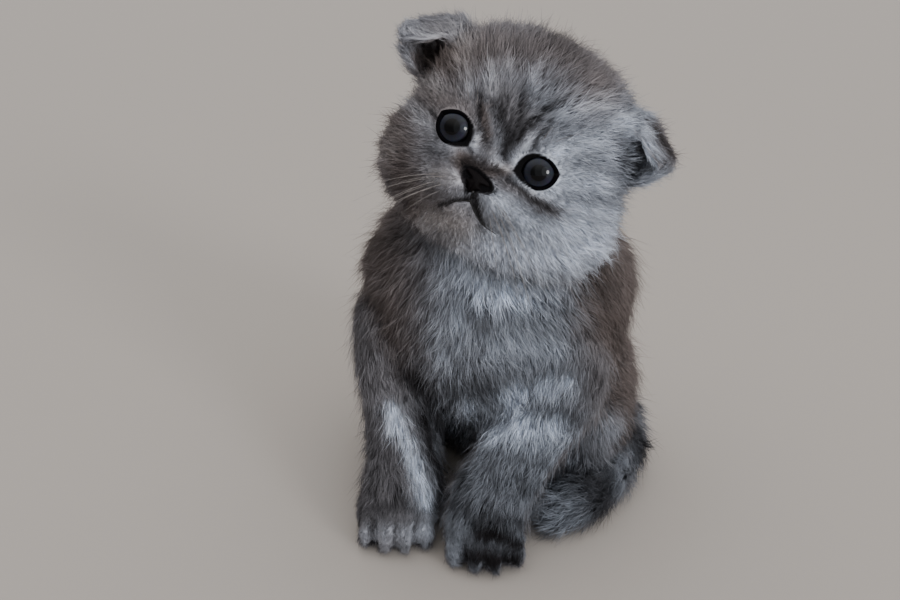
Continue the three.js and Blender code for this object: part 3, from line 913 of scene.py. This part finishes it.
ROOT_DEPTH = 0.12  # under the skin, as a share of the tuft's length
DEEPEST_ROOT = 0.00025
BENT_AT = 0.45  # how far along a tuft it bends
FLATNESS = 0.6  # the thickness of a tuft, as a share of its width
LEADERS = 11  # tufts for each one whose way its neighbours take up
STRAYS = 0.11  # share of tufts that stand out of the coat
STRAY_LIFT = 2  # these three are as shares of a plain tuft's
STRAY_LENGTH = 1.25
STRAY_WIDTH = 0.6
MOST_LIFT = math.radians(52)
PALE_HAIRS = 0.1  # share of tufts that are paler than the rest
PALE_HAIR_TONE = 1.35
ROOT_SHADE_AND_PALE_TIPS = np.array([0.84, 0.96, 0.96, 0.96, 1.1])  # of the base, the ring at the bend and the tip: painted shade towards the root, and the hairs' own paler tips
TUFT_FACES = np.array([(0, 1, 2), (0, 2, 3), (0, 3, 1), (4, 2, 1), (4, 3, 2), (4, 1, 3)])
RING = np.radians([90, 210, 330])
# A tuft's own small patch of the unwrap, with a place for each of its five points
PATCH = np.array([(0, -0.5), (-0.5, 0), (0.5, 0), (0.1, 0.1), (0, 0.5)]) * 0.003
MOST_TRIANGLES = 190000
FLOOR_GAP = 0.0003
CLEAR_OF_LIDS = (1.14, 1.1, 1.08)  # least lid_share of a tuft's root, bend and tip
CLEAR_OF_NOSE = (1, 0.95)  # least off_nose of its root and bend
CLEAR_OF_MOUTH_MM = 0.12
CHEST_FRONT = -0.012  # the torso's coat forward of this is the chest's
FACE_FRONT_MM = -8  # the head's coat forward of this is the face's


class Bed(NamedTuple):
    """The skin's triangles that one piece of coat grows on."""

    mesh: bpy.types.Mesh
    triangles: np.ndarray
    uv: np.ndarray  # of each corner of each triangle
    area: np.ndarray


class Tufts(NamedTuple):
    """What each tuft of a bed is like."""

    root: np.ndarray
    normal: np.ndarray
    leader: np.ndarray  # the number of the tuft whose way it takes up
    stray: np.ndarray  # whether it stands out of the coat
    lie: np.ndarray
    lift: np.ndarray
    length: np.ndarray
    width: np.ndarray
    colour: np.ndarray
    uv: np.ndarray


def unwrapped_bed(skin, chosen):
    """The chosen triangles of the skin, with an unwrap of their own shape."""
    triangles = read_triangles(skin)[chosen]
    used, corners = np.unique(triangles, return_inverse=True)
    points = read_points(skin)
    flat = bpy.data.meshes.new("bed")
    flat.from_pydata(points[used].tolist(), [], corners.reshape(-1, 3).tolist())
    scratch = bpy.data.objects.new("bed", flat)
    bpy.context.scene.collection.objects.link(scratch)
    bpy.context.view_layer.objects.active = scratch
    bpy.ops.object.select_all(action="DESELECT")
    scratch.select_set(True)
    bpy.ops.object.mode_set(mode="EDIT")
    bpy.ops.mesh.select_all(action="SELECT")
    bpy.ops.uv.smart_project(angle_limit=math.radians(66), island_margin=0.002)
    bpy.ops.object.mode_set(mode="OBJECT")
    uv = read(flat.uv_layers.active.data, "uv", 2).reshape(-1, 3, 2)
    bpy.data.objects.remove(scratch)
    bpy.data.meshes.remove(flat)
    return Bed(skin, triangles, uv, triangle_areas(points[triangles]))


def followed(roots, rng):
    """For each tuft, the nearest of a few leaders, whose way it takes up in part."""
    leaders = rng.choice(len(roots), max(len(roots) // LEADERS, 1), replace=False)
    nearest = nearest_finder(roots[leaders])
    return leaders[[nearest(p) for p in roots]]


def scattered(bed, rng):
    """The tufts of a bed, by lot."""
    mesh = bed.mesh
    coat = bpy.context.scene.kitten_coat
    density = read_attribute(mesh, "density")[bed.triangles].mean(axis=1) * coat.density
    wanted = bed.area * density / MM**2
    count = int(wanted.sum())
    pick = rng.choice(len(wanted), count, p=wanted / wanted.sum())
    share = thirds(rng, count)

    def at_root(values):
        return within(values[bed.triangles[pick]], share)

    def by_lot(low, high):
        return rng.uniform(low, high, count)

    root = at_root(read_points(mesh))
    normal = unit(at_root(read_normals(mesh)))
    leader = followed(root, rng)
    own = rng.standard_normal((count, 3))
    lie = unit(at_root(read_attribute(mesh, "lie", 3)) + 0.12 * own + 0.16 * own[leader])
    stray = rng.random(count) < STRAYS
    lift = at_root(read_attribute(mesh, "lift")) * by_lot(0.7, 1.3) * by_lot(0.55, 1.45)[leader]
    length = at_root(read_attribute(mesh, "length")) * by_lot(0.6, 1.1) * by_lot(0.85, 1.1)[leader]
    return Tufts(
        root=root,
        normal=normal,
        leader=leader,
        stray=stray,
        lie=along_skin(lie, normal),
        lift=(lift * np.where(stray, STRAY_LIFT, 1)).clip(0, MOST_LIFT),
        length=length * np.where(stray, STRAY_LENGTH, 1),
        width=at_root(read_attribute(mesh, "width")) * by_lot(0.7, 1.25) * np.where(stray, STRAY_WIDTH, 1),
        colour=at_root(read_attribute(mesh, "coat", 4))[:, :3],
        uv=within(bed.uv[pick], share),
    )


def bent(tufts, rng):
    """The base, bend and tip of each tuft, drawn towards its leader's tip where that is near."""
    length, sin = tufts.length[:, None], np.sin(tufts.lift)[:, None]
    base = tufts.root - tufts.normal * np.minimum(length * ROOT_DEPTH, DEEPEST_ROOT)
    rise = tufts.lie * np.cos(tufts.lift)[:, None] + tufts.normal * sin
    fall = unit(rise - tufts.normal * sin * 0.8 + 0.16 * rng.standard_normal(rise.shape))
    bend = base + rise * length * BENT_AT
    tip = bend + fall * length * (1 - BENT_AT)
    near = np.linalg.norm(tufts.root - tufts.root[tufts.leader], axis=1) < tufts.length * 0.5
    gather = (tip[tufts.leader] - tip) * (near & ~tufts.stray)[:, None]
    gather *= rng.uniform(0.05, 0.4, len(gather))[:, None]
    bend += gather * 0.3
    tip += gather
    for points in (bend, tip):
        points[:, 2] = np.maximum(points[:, 2], FLOOR_GAP)
    return base, bend, tip


def clear_of_face(root, bend, tip):
    """Whether each tuft leaves the eyes, the nose and the line of the mouth bare."""
    root, bend, tip = to_head(root), to_head(bend), to_head(tip)
    clear = off_mouth(root) > CLEAR_OF_MOUTH_MM
    for q, least in zip((root, bend, tip), CLEAR_OF_LIDS):
        clear &= nearest_lid(q) > least
    for q, least in zip((root, bend), CLEAR_OF_NOSE):
        clear &= off_nose(q) > least
    return clear


def tuft_tones(leader, rng):
    """How much lighter or darker than the coat's colour each tuft is, in part as its leader is."""
    count = len(leader)
    tone = np.exp(0.12 * rng.standard_normal(count) + 0.1 * rng.standard_normal(count)[leader])
    return np.where(rng.random(count) < PALE_HAIRS, tone * PALE_HAIR_TONE, tone).clip(0.5, 2)


def plant(name, bed, material, slot, rng):
    """Grows the tufts of one bed, in as many pieces as keep each under the most triangles."""
    tufts = scattered(bed, rng)
    base, bend, tip = bent(tufts, rng)
    clear = clear_of_face(tufts.root, bend, tip)
    colour = tufts.colour * tuft_tones(tufts.leader, rng)[:, None]
    axis = unit(tip - base)
    across = unit(np.cross(tufts.normal, axis))
    over = np.cross(axis, across) * FLATNESS
    half_width = tufts.width[:, None] / 2
    ring = [bend + (across * math.cos(turn) + over * math.sin(turn)) * half_width for turn in RING]
    shapes = np.stack([base, *ring, tip], 1)[clear]
    # each tuft's colour, with painted shade at its root and the hairs' own paler tip
    paint = colour[clear][:, None] * ROOT_SHADE_AND_PALE_TIPS[:, None]
    places = tufts.uv[clear][:, None] + PATCH
    parts = math.ceil(len(shapes) * len(TUFT_FACES) / MOST_TRIANGLES)
    deal = rng.integers(0, parts, len(shapes))
    for part in range(parts):
        mine = deal == part
        label = name if parts == 1 else f"{name}_{part + 1}"
        show(label, tuft_mesh(label, shapes[mine], paint[mine], places[mine]), material, slot)


def tuft_mesh(name, tufts, paint, places):
    """A mesh of many small closed tufts."""
    faces = (TUFT_FACES + 5 * np.arange(len(tufts))[:, None, None]).ravel()
    mesh = bpy.data.meshes.new(name)
    mesh.vertices.add(len(tufts) * 5)
    mesh.vertices.foreach_set("co", tufts.ravel())
    mesh.loops.add(len(faces))
    mesh.loops.foreach_set("vertex_index", faces)
    mesh.polygons.add(len(faces) // 3)
    mesh.polygons.foreach_set("loop_start", np.arange(0, len(faces), 3))
    mesh.update(calc_edges=True)
    uv = mesh.uv_layers.new(name="OFBake")
    uv.data.foreach_set("uv", places.reshape(-1, 2)[faces].ravel())
    write_colours(mesh, paint.reshape(-1, 3))
    mesh.shade_smooth()
    return mesh


class KITTEN_OT_coat(Operator):
    """Plants the coat on the skin, in pieces by part of the body"""

    bl_idname = "kitten.coat"
    bl_label = "Coat"

    def execute(self, context):
        skin = bpy.data.objects["skin"].data
        triangles = read_triangles(skin)
        number = read_attribute(skin, "region")[triangles].max(axis=1)
        middles = read_points(skin)[triangles].mean(axis=1)
        on = {name: number == i for name, i in NUMBER.items()}
        front = middles[:, 1] < CHEST_FRONT
        face = to_head(middles)[:, 1] < FACE_FRONT_MM
        pieces = {
            "coat_face": (on["head"] & face, "face_coat"),
            "coat_crown": (on["head"] & ~face, "face_coat"),
            "coat_ears": (on["ears"], "dark_coat"),
            "coat_neck": (on["neck"], "silver_coat"),
            "coat_chest": (on["torso"] & front, "silver_coat"),
            "coat_back": (on["torso"] & ~front, "back_coat"),
            "coat_forelegs": (on["forelegs"], "silver_coat"),
            "coat_forepaws": (on["forepaws"], "dark_coat"),
            "coat_thighs": (on["thighs"], "back_coat"),
            "coat_hindpaws": (on["hindpaws"], "dark_coat"),
            "coat_tail": (on["tail"], "dark_coat"),
        }
        material = coat_material()
        for seed, (name, (chosen, slot)) in enumerate(pieces.items(), 40):
            plant(name, unwrapped_bed(skin, chosen), material, slot, np.random.default_rng(seed))
        return {"FINISHED"}


# Materials

LIP_GRAIN = (3000, 0.00008, 3)  # scale, distance and detail of the fine grain, as new_material takes them
NOSE_GRAIN = (1800, 0.00012, 2)
SKIN_SURFACE_GRAIN = (2500, 0.0003, 3)
FLOOR_GRAIN = (40, 0.0002, 3)
OVERHEAD = 5.5  # strength of the soft light from above, as a share of that from the sides


def feed(tree, node, inputs):
    """Gives a node's inputs their values, or links them to the outputs that feed them."""
    for key, value in inputs.items():
        if isinstance(value, bpy.types.NodeSocket):
            tree.links.new(value, node.inputs[key])
        else:
            node.inputs[key].default_value = value


def add_node(tree, kind, inputs, **settings):
    node = tree.nodes.new("ShaderNode" + kind)
    for key, value in settings.items():
        setattr(node, key, value)
    feed(tree, node, inputs)
    return node


def fine_grain():
    """The node group that gives a surface fine grain, made once."""
    if "fine_grain" in bpy.data.node_groups:
        return bpy.data.node_groups["fine_grain"]
    group = bpy.data.node_groups.new("fine_grain", "ShaderNodeTree")
    for name in ("Scale", "Distance", "Detail"):
        group.interface.new_socket(name, in_out="INPUT", socket_type="NodeSocketFloat")
    group.interface.new_socket("Normal", in_out="OUTPUT", socket_type="NodeSocketVector")
    given = group.nodes.new("NodeGroupInput").outputs
    place = add_node(group, "TexCoord", {}).outputs["Object"]
    size = {"Scale": given["Scale"], "Detail": given["Detail"]}
    grain = add_node(group, "TexNoise", {"Vector": place} | size)
    bump = add_node(group, "Bump", {"Height": grain.outputs["Fac"], "Distance": given["Distance"]})
    feed(group, group.nodes.new("NodeGroupOutput"), {"Normal": bump.outputs["Normal"]})
    return group


def finish(colour, roughness, specular=0.5):
    return {"Base Color": (*colour, 1), "Roughness": roughness, "Specular IOR Level": specular}


def new_material(name, inputs, grain=None):
    """A material with values for its shader's inputs, and fine grain of a scale, distance and detail."""
    material = bpy.data.materials.new(name)
    material.use_nodes = True
    tree = material.node_tree
    if grain:
        values = dict(zip(("Scale", "Distance", "Detail"), grain))
        surface = add_node(tree, "Group", values, node_tree=fine_grain())
        inputs = inputs | {"Normal": surface.outputs["Normal"]}
    feed(tree, tree.nodes["Principled BSDF"], inputs)
    return material


def painted(material):
    """Feeds the base colour of a material from the colours on the mesh."""
    tree = material.node_tree
    paint = add_node(tree, "Attribute", {}, attribute_name="coat")
    feed(tree, tree.nodes["Principled BSDF"], {"Base Color": paint.outputs["Color"]})
    return material


def skin_material():
    inputs = {"Roughness": 0.85, "Specular IOR Level": 0.1}
    return painted(new_material("under_coat", inputs, SKIN_SURFACE_GRAIN))


def coat_material():
    return painted(new_material("coat_hair", {"Roughness": 0.75, "Specular IOR Level": 0.12}))


def eye_material():
    """Iris, pupil and rim painted by the angle from the eye's axis, under a clear wet coat."""
    colours = bpy.context.scene.kitten_colours
    face = bpy.context.scene.kitten_face
    wet = {"Coat Weight": 1, "Coat Roughness": 0.02, "Coat IOR": 1.28}
    material = new_material("wet_eye", finish(colours.pupil, 0.4, 0) | wet)
    tree = material.node_tree
    gaze = add_node(tree, "Attribute", {}, attribute_name="gaze")
    parts = add_node(tree, "SeparateXYZ", {"Vector": gaze.outputs["Vector"]}).outputs
    angle = add_node(tree, "Math", {0: parts["Z"]}, operation="ARCCOSINE")
    rings = add_node(tree, "ValToRGB", {"Fac": angle.outputs["Value"]})
    pupil = math.asin(face.pupil / EYEBALL_RADIUS_MM)
    limbus = math.asin(face.iris / EYEBALL_RADIUS_MM)
    stops = [
        (0, colours.pupil),
        (pupil * 0.94, colours.pupil),
        (pupil * 1.08, colours.iris_inner),
        (limbus * 0.82, colours.iris),
        (limbus * 0.98, colours.rim),
        (1, colours.rim),
    ]
    elements = rings.color_ramp.elements
    while len(elements) < len(stops):
        elements.new(0.5)
    for element, (place, colour) in zip(elements, stops):
        element.position = place
        element.color = (*colour, 1)
    flat = add_node(tree, "CombineXYZ", {"X": parts["X"], "Y": parts["Y"]})
    spokes = add_node(tree, "VectorMath", {0: flat.outputs["Vector"]}, operation="NORMALIZE")
    fibres = add_node(tree, "TexNoise", {"Vector": spokes.outputs["Vector"], "Scale": 5, "Detail": 4})
    layers = {"Factor": 0.6, 6: rings.outputs["Color"], 7: fibres.outputs["Color"]}
    iris = add_node(tree, "Mix", layers, data_type="RGBA", blend_type="MULTIPLY")
    feed(tree, tree.nodes["Principled BSDF"], {"Base Color": iris.outputs[2]})
    return material


def soft_sky(tree, stage):
    """Soft light from all round, stronger from above."""
    place = add_node(tree, "TexCoord", {}).outputs["Generated"]
    up = add_node(tree, "SeparateXYZ", {"Vector": place}).outputs["Z"]
    rise = {
        "Value": up,
        "From Min": 0.3,
        "From Max": 1,
        "To Min": stage.sky_strength,
        "To Max": stage.sky_strength * OVERHEAD,
    }
    strength = add_node(tree, "MapRange", rise, interpolation_type="SMOOTHSTEP").outputs["Result"]
    feed(tree, tree.nodes["Background"], {"Color": (*stage.sky, 1), "Strength": strength})


# Eyes, lid rims, nose, lips and whiskers

BALL_INSET_MM = 0.05  # of the ball, from the radius that the lids are fitted to
CORNEA_EDGE = 0.62  # where the bulge begins, as the cosine of the angle from the eye's axis
RIM_POINTS = 72
RIM_PLACE = 1.04  # of the middle of the rim, as a share of the opening of the lids
RIM_OFF_BALL_MM = 0.22
LIP_RADII_MM = (0.4, 0.12)  # at the start and the end of each line of the mouth
LIP_SUNK = 0.0001  # of the lips' middle under the skin
IN_FRONT_MM = -60  # where rays towards the face start
WHISKER_RADIUS = 0.00006
WHISKER_SUNK = 0.0004
WHISKER_DROOP = 0.22  # of the tip, as a share of the whisker's length


class Dent(NamedTuple):
    """A dent in each side of the leather of the nose, in millimetres across and up."""

    middle: tuple
    size: tuple
    rise: float  # of its line, for each millimetre outwards
    depth: float


NOSTRIL = [
    Dent((2.1, 0.35), (0.75, 0.5), 0, 1.3),
    Dent((3.2, 0.95), (0.9, 0.32), 0.25, 0.7),
]
NOSE_GROOVE_MM = 0.25  # half the width of the groove down its middle
NOSE_GROOVE_DEPTH_MM = 0.35


class KITTEN_OT_eyes(Operator):
    """Makes the eyes, each a ball with a clear bulge, a dark iris and a round pupil"""

    bl_idname = "kitten.eyes"
    bl_label = "Eyes"

    def execute(self, context):
        material = eye_material()
        face = context.scene.kitten_face
        for name, side in SIDES.items():
            bm = bmesh.new()
            bmesh.ops.create_uvsphere(bm, u_segments=64, v_segments=48, radius=1)
            gaze = np.array([v.co for v in bm.verts])
            bulge = 1 + face.cornea_bulge * ramp(CORNEA_EDGE, 1, gaze[:, 2:])
            ball = gaze * bulge * (EYEBALL_RADIUS_MM - BALL_INSET_MM)
            outwards = Matrix.Rotation(side * face.squint, 3, "Z")
            forwards = Matrix.Rotation(math.radians(90) - face.gaze_down, 3, "X")
            put(bm, from_head(ball @ np.array(outwards @ forwards).T + eye_centre_mm(side)))
            mesh = finished(bm, "eyeball_" + name)
            write_attribute(mesh, "gaze", gaze)
            show("eyeball_" + name, mesh, material, "eye", "eye_" + name)
        return {"FINISHED"}


def rim_path(side):
    """The closed path of the edge of the lids, just off the ball."""
    around = np.linspace(0, 2 * math.pi, RIM_POINTS, endpoint=False)
    x = side * LID_OPENING_MM[0] * np.cos(around)
    z = LID_OPENING_MM[1] * np.sin(around)
    share = lid_share(np.stack([x, np.full(RIM_POINTS, -1), z], 1) + eye_centre_mm(side), side)
    x, z = x * RIM_PLACE / share, z * RIM_PLACE / share
    y = -np.sqrt((EYEBALL_RADIUS_MM + RIM_OFF_BALL_MM) ** 2 - x**2 - z**2)
    return from_head(np.stack([x, y, z], 1) + eye_centre_mm(side))


class KITTEN_OT_lid_rims(Operator):
    """Makes the dark moist edge of the lids round each eye"""

    bl_idname = "kitten.lid_rims"
    bl_label = "Lid rims"

    def execute(self, context):
        material = new_material("lid_skin", finish(context.scene.kitten_colours.rim, 0.7, 0.02), LIP_GRAIN)
        for name, side in SIDES.items():
            bm = bmesh.new()
            tube(bm, rim_path(side), [context.scene.kitten_face.rim * MM] * RIM_POINTS, 10, closed=True)
            show("lid_rim_" + name, finished(bm, "lid_rim_" + name), material, "nose_leather")
        return {"FINISHED"}


class KITTEN_OT_nose(Operator):
    """Makes the leather of the nose, wide above and narrow below, with two slit nostrils"""

    bl_idname = "kitten.nose"
    bl_label = "Nose"

    def execute(self, context):
        bm = bmesh.new()
        bmesh.ops.create_icosphere(bm, subdivisions=5, radius=1)
        x, y, z = np.array([v.co for v in bm.verts]).T
        q = np.stack([x * nose_narrowing(z), y * (1 - 0.25 * x**2), z], 1) * NOSE_HALF_MM
        front = ramp(0.1, -0.4, y)
        for side in SIDES.values():
            for dent in NOSTRIL:
                across = q[:, 0] * side - dent.middle[0]
                up = q[:, 2] - dent.middle[1] - dent.rise * across
                q[:, 1] += front * dent.depth * bell(across / dent.size[0]) * bell(up / dent.size[1])
        q[:, 1] += front * NOSE_GROOVE_DEPTH_MM * bell(q[:, 0] / NOSE_GROOVE_MM) * ramp(0.6, -1, q[:, 2])
        put(bm, from_head(q @ NOSE_TURNED.T + NOSE_MIDDLE_MM))
        surface = finish(context.scene.kitten_colours.nose, 0.6, 0.06)
        material = new_material("nose_leather", surface, NOSE_GRAIN)
        show("nose_leather", finished(bm, "nose_leather"), material, "nose_leather", "nose")
        return {"FINISHED"}


def skin_tree():
    """The skin, as a tree that rays can be cast at."""
    skin = bpy.data.objects["skin"].data
    return BVHTree.FromPolygons([v.co for v in skin.vertices], [p.vertices for p in skin.polygons])


def under_face(tree, x, z, depth):
    """The place on the face at x and z in the head's frame, and a depth under the skin."""
    start = Vector(from_head([x, IN_FRONT_MM, z]))
    return np.array(tree.ray_cast(start, INTO_FACE)[0] + INTO_FACE * depth)


class KITTEN_OT_lips(Operator):
    """Makes the dark edge of the lips along the line of the mouth, which also stands in as painted shade of
    its crease
    """

    bl_idname = "kitten.lips"
    bl_label = "Lips"

    def execute(self, context):
        tree = skin_tree()
        bm = bmesh.new()
        for line in MOUTH_MM:
            path = [under_face(tree, x, z, LIP_SUNK) for x, z in smooth_path(line, 5 * len(line))]
            tube(bm, path, np.linspace(*LIP_RADII_MM, len(path)) * MM, 8)
        # near-black, for the lips' own dark edge and painted shade of the mouth's crease
        material = new_material("lip_skin_and_crease_shade", finish(context.scene.kitten_colours.nose, 0.5), LIP_GRAIN)
        show("lips", finished(bm, "lips"), material, "nose_leather")
        return {"FINISHED"}


def whisker(bm, tree, spot_mm, way, length, rng):
    """One stiff tapered hair that leaves the face and droops."""
    start = under_face(tree, *spot_mm, WHISKER_SUNK)
    way = unit(HEAD_AXES @ np.array(Vector(way).normalized()) + 0.06 * rng.standard_normal(3))
    steps = np.linspace(0, 1, 9)
    path = start + length * (way * steps[:, None] + np.array([0, 0, -WHISKER_DROOP]) * steps[:, None] ** 2)
    tube(bm, path, WHISKER_RADIUS * (1 - 0.8 * steps), 5)


class KITTEN_OT_whiskers(Operator):
    """Makes the whiskers of the lips and the long hairs over the eyes"""

    bl_idname = "kitten.whiskers"
    bl_label = "Whiskers"

    def execute(self, context):
        longest = context.scene.kitten_face.whisker
        tree = skin_tree()
        rng = np.random.default_rng(21)
        bm = bmesh.new()
        for side in SIDES.values():
            for row in range(3):
                for place in range(2 if row == 0 else 3):
                    spot = (side * (6 + 2.2 * place + 0.3 * row), -12.2 - 1.9 * row - 0.4 * place)
                    way = (side * (0.9 + 0.15 * place), -0.35 + 0.1 * place, -0.45 - 0.3 * row)
                    length = longest * (0.6 + 0.16 * place + rng.uniform(-0.1, 0.15))
                    whisker(bm, tree, spot, way, length, rng)
            for place in range(2):
                spot = (side * (9 + 2.6 * place), 5.4 + 0.6 * place)
                way = (side * (0.25 + 0.3 * place), -0.7, 0.9)
                whisker(bm, tree, spot, way, longest * 0.5, rng)
        material = new_material("whisker_hair", finish(context.scene.kitten_colours.whisker, 0.4))
        show("whiskers", finished(bm, "whiskers"), material, "face_coat")
        return {"FINISHED"}


# The stage

class Lamp(NamedTuple):
    """A broad distant lamp that looks at the kitten."""

    place: tuple
    share: float  # of the strength of the key light
    spread: float  # in degrees
    colour: tuple


COOL_LIGHT = (0.88, 0.94, 1)
LAMPS = {
    "window": Lamp((0.6, -0.7, 0.42), 0.55, 90, COOL_LIGHT),
    "middle": Lamp((0.7, -0.6, 0.36), 0.35, 45, COOL_LIGHT),
    "glint": Lamp((0.8, -0.5, 0.31), 1.25, 16, (1, 1, 1)),
}
LAMPS_LOOK_AT = Vector((0, -0.01, 0.09))
FLOOR_HALF = 40
LENS_MM = 36  # and the sensor is as wide, which seen_at counts on


class KITTEN_OT_stage(Operator):
    """Sets the pale floor, the soft lights and the camera"""

    bl_idname = "kitten.stage"
    bl_label = "Stage"

    def execute(self, context):
        stage = context.scene.kitten_stage
        objects = context.scene.collection.objects
        bm = bmesh.new()
        bmesh.ops.create_grid(bm, x_segments=2, y_segments=2, size=FLOOR_HALF)
        floor_mesh = finished(bm, "floor")
        floor_mesh.materials.append(new_material("pale_floor", finish(stage.floor, 0.6), FLOOR_GRAIN))
        floor = bpy.data.objects.new("floor", floor_mesh)
        objects.link(floor)
        world = bpy.data.worlds.new("studio")
        world.use_nodes = True
        soft_sky(world.node_tree, stage)
        context.scene.world = world
        for name, lamp in LAMPS.items():
            light = bpy.data.lights.new(name, "SUN")
            light.energy = stage.key * lamp.share
            light.angle = math.radians(lamp.spread)
            light.color = lamp.colour
            placed = bpy.data.objects.new(name, light)
            placed.location = lamp.place
            placed.rotation_euler = (LAMPS_LOOK_AT - placed.location).to_track_quat("-Z", "Y").to_euler()
            objects.link(placed)
        lens = bpy.data.cameras.new("camera")
        lens.sensor_width = LENS_MM
        lens.lens = LENS_MM
        lens.clip_start = 0.01
        camera = bpy.data.objects.new("camera", lens)
        camera.location = CAMERA_AT
        camera.rotation_euler = CAMERA_TURN
        objects.link(camera)
        context.scene.camera = camera
        return {"FINISHED"}


# Settings and the panel

def size_setting(name, description, default, **more):
    return FloatProperty(name=name, description=description, default=default, **more)


def colour_setting(name, description, default):
    look = {"subtype": "COLOR", "size": 3, "min": 0, "max": 1}
    return FloatVectorProperty(name=name, description=description, default=default, **look)


class KittenCoat(PropertyGroup):
    """Amount of coat"""

    length: size_setting("Length", "Share of each part's own coat length", 1, min=0.2, max=2)
    density: size_setting("Density", "Share of the full number of tufts", 1, min=0.05, max=1.2)


class KittenFace(PropertyGroup):
    """Sizes of the face, in millimetres unless a unit says otherwise"""

    pupil: size_setting("Pupil", "Radius of the pupil in millimetres", 1.95)
    iris: size_setting("Iris", "Radius of the iris in millimetres", 3.85)
    rim: size_setting("Lid rim", "Radius of the lids' moist edge in millimetres", 0.56)
    cornea_bulge: size_setting("Cornea", "Bulge of the clear front, as a share of the radius", 0.04)
    squint: size_setting("Squint", "Turn of each eye outwards", math.radians(6), subtype="ANGLE")
    gaze_down: size_setting("Gaze", "Turn of the eyes down", 0, subtype="ANGLE")
    whisker: size_setting("Whiskers", "Length of the longest whiskers", 0.021, unit="LENGTH")


class KittenColours(PropertyGroup):
    """Colours of the coat, the eyes and the bare skin"""

    silver: colour_setting("Silver", "Coat of the cheeks and chest", (0.32, 0.36, 0.415))
    pale: colour_setting("Pale", "Lightest hairs", (0.74, 0.84, 0.98))
    pale_warm: colour_setting("Warm pale", "Lightest hairs on brown ground", (0.58, 0.54, 0.52))
    brown: colour_setting("Brown grey", "Coat of the crown, back and flanks", (0.172, 0.143, 0.133))
    cast: colour_setting("Cast", "Tint over the whole coat", (0.94, 0.93, 0.95))
    dark: colour_setting("Dark", "Stripes and feet", (0.009, 0.0072, 0.008))
    iris: colour_setting("Iris", "Outer part of the iris", (0.022, 0.025, 0.038))
    iris_inner: colour_setting("Inner iris", "Iris beside the pupil", (0.01, 0.011, 0.018))
    pupil: colour_setting("Pupil", "Pupil", (0.0005, 0.0005, 0.001))
    rim: colour_setting("Rim", "Edge of the lids", (0.0015, 0.0012, 0.0018))
    nose: colour_setting("Nose", "Leather of the nose and lips", (0.003, 0.002, 0.0024))
    whisker: colour_setting("Whisker", "Whiskers", (0.22, 0.2, 0.19))


class KittenStage(PropertyGroup):
    """Floor and light"""

    floor: colour_setting("Floor", "Colour of the floor", (0.34, 0.31, 0.285))
    sky: colour_setting("Surroundings", "Colour of the soft light all round", (1, 0.98, 0.96))
    sky_strength: size_setting("Soft light", "Strength of the light all round", 0.34, min=0)
    key: size_setting("Key light", "Strength of the main light", 1.5, min=0)


OPERATORS = [
    KITTEN_OT_stage,
    KITTEN_OT_skin,
    KITTEN_OT_eyes,
    KITTEN_OT_lid_rims,
    KITTEN_OT_nose,
    KITTEN_OT_lips,
    KITTEN_OT_coat,
    KITTEN_OT_whiskers,
]
SETTINGS = {
    "kitten_coat": KittenCoat,
    "kitten_face": KittenFace,
    "kitten_colours": KittenColours,
    "kitten_stage": KittenStage,
}


class KITTEN_PT_panel(Panel):
    """Lists the kitten's pieces and settings"""

    bl_label = "Kitten"
    bl_space_type = "VIEW_3D"
    bl_region_type = "UI"
    bl_category = "Kitten"

    def draw(self, context):
        for operator in OPERATORS:
            self.layout.operator(operator.bl_idname)
        for group in SETTINGS:
            settings = getattr(context.scene, group)
            for name in settings.__annotations__:
                self.layout.prop(settings, name)


def register():
    for group in SETTINGS.values():
        bpy.utils.register_class(group)
    for name, group in SETTINGS.items():
        setattr(bpy.types.Scene, name, PointerProperty(type=group))
    for operator in [*OPERATORS, KITTEN_PT_panel]:
        bpy.utils.register_class(operator)


def unregister():
    for operator in reversed([*OPERATORS, KITTEN_PT_panel]):
        bpy.utils.unregister_class(operator)
    for name, group in SETTINGS.items():
        delattr(bpy.types.Scene, name)
        bpy.utils.unregister_class(group)


def main():
    register()
    bpy.ops.kitten.stage()
    bpy.ops.kitten.skin()
    bpy.ops.kitten.eyes()
    bpy.ops.kitten.lid_rims()
    bpy.ops.kitten.nose()
    bpy.ops.kitten.lips()
    bpy.ops.kitten.coat()
    bpy.ops.kitten.whiskers()


if __name__ == "__main__":
    main()
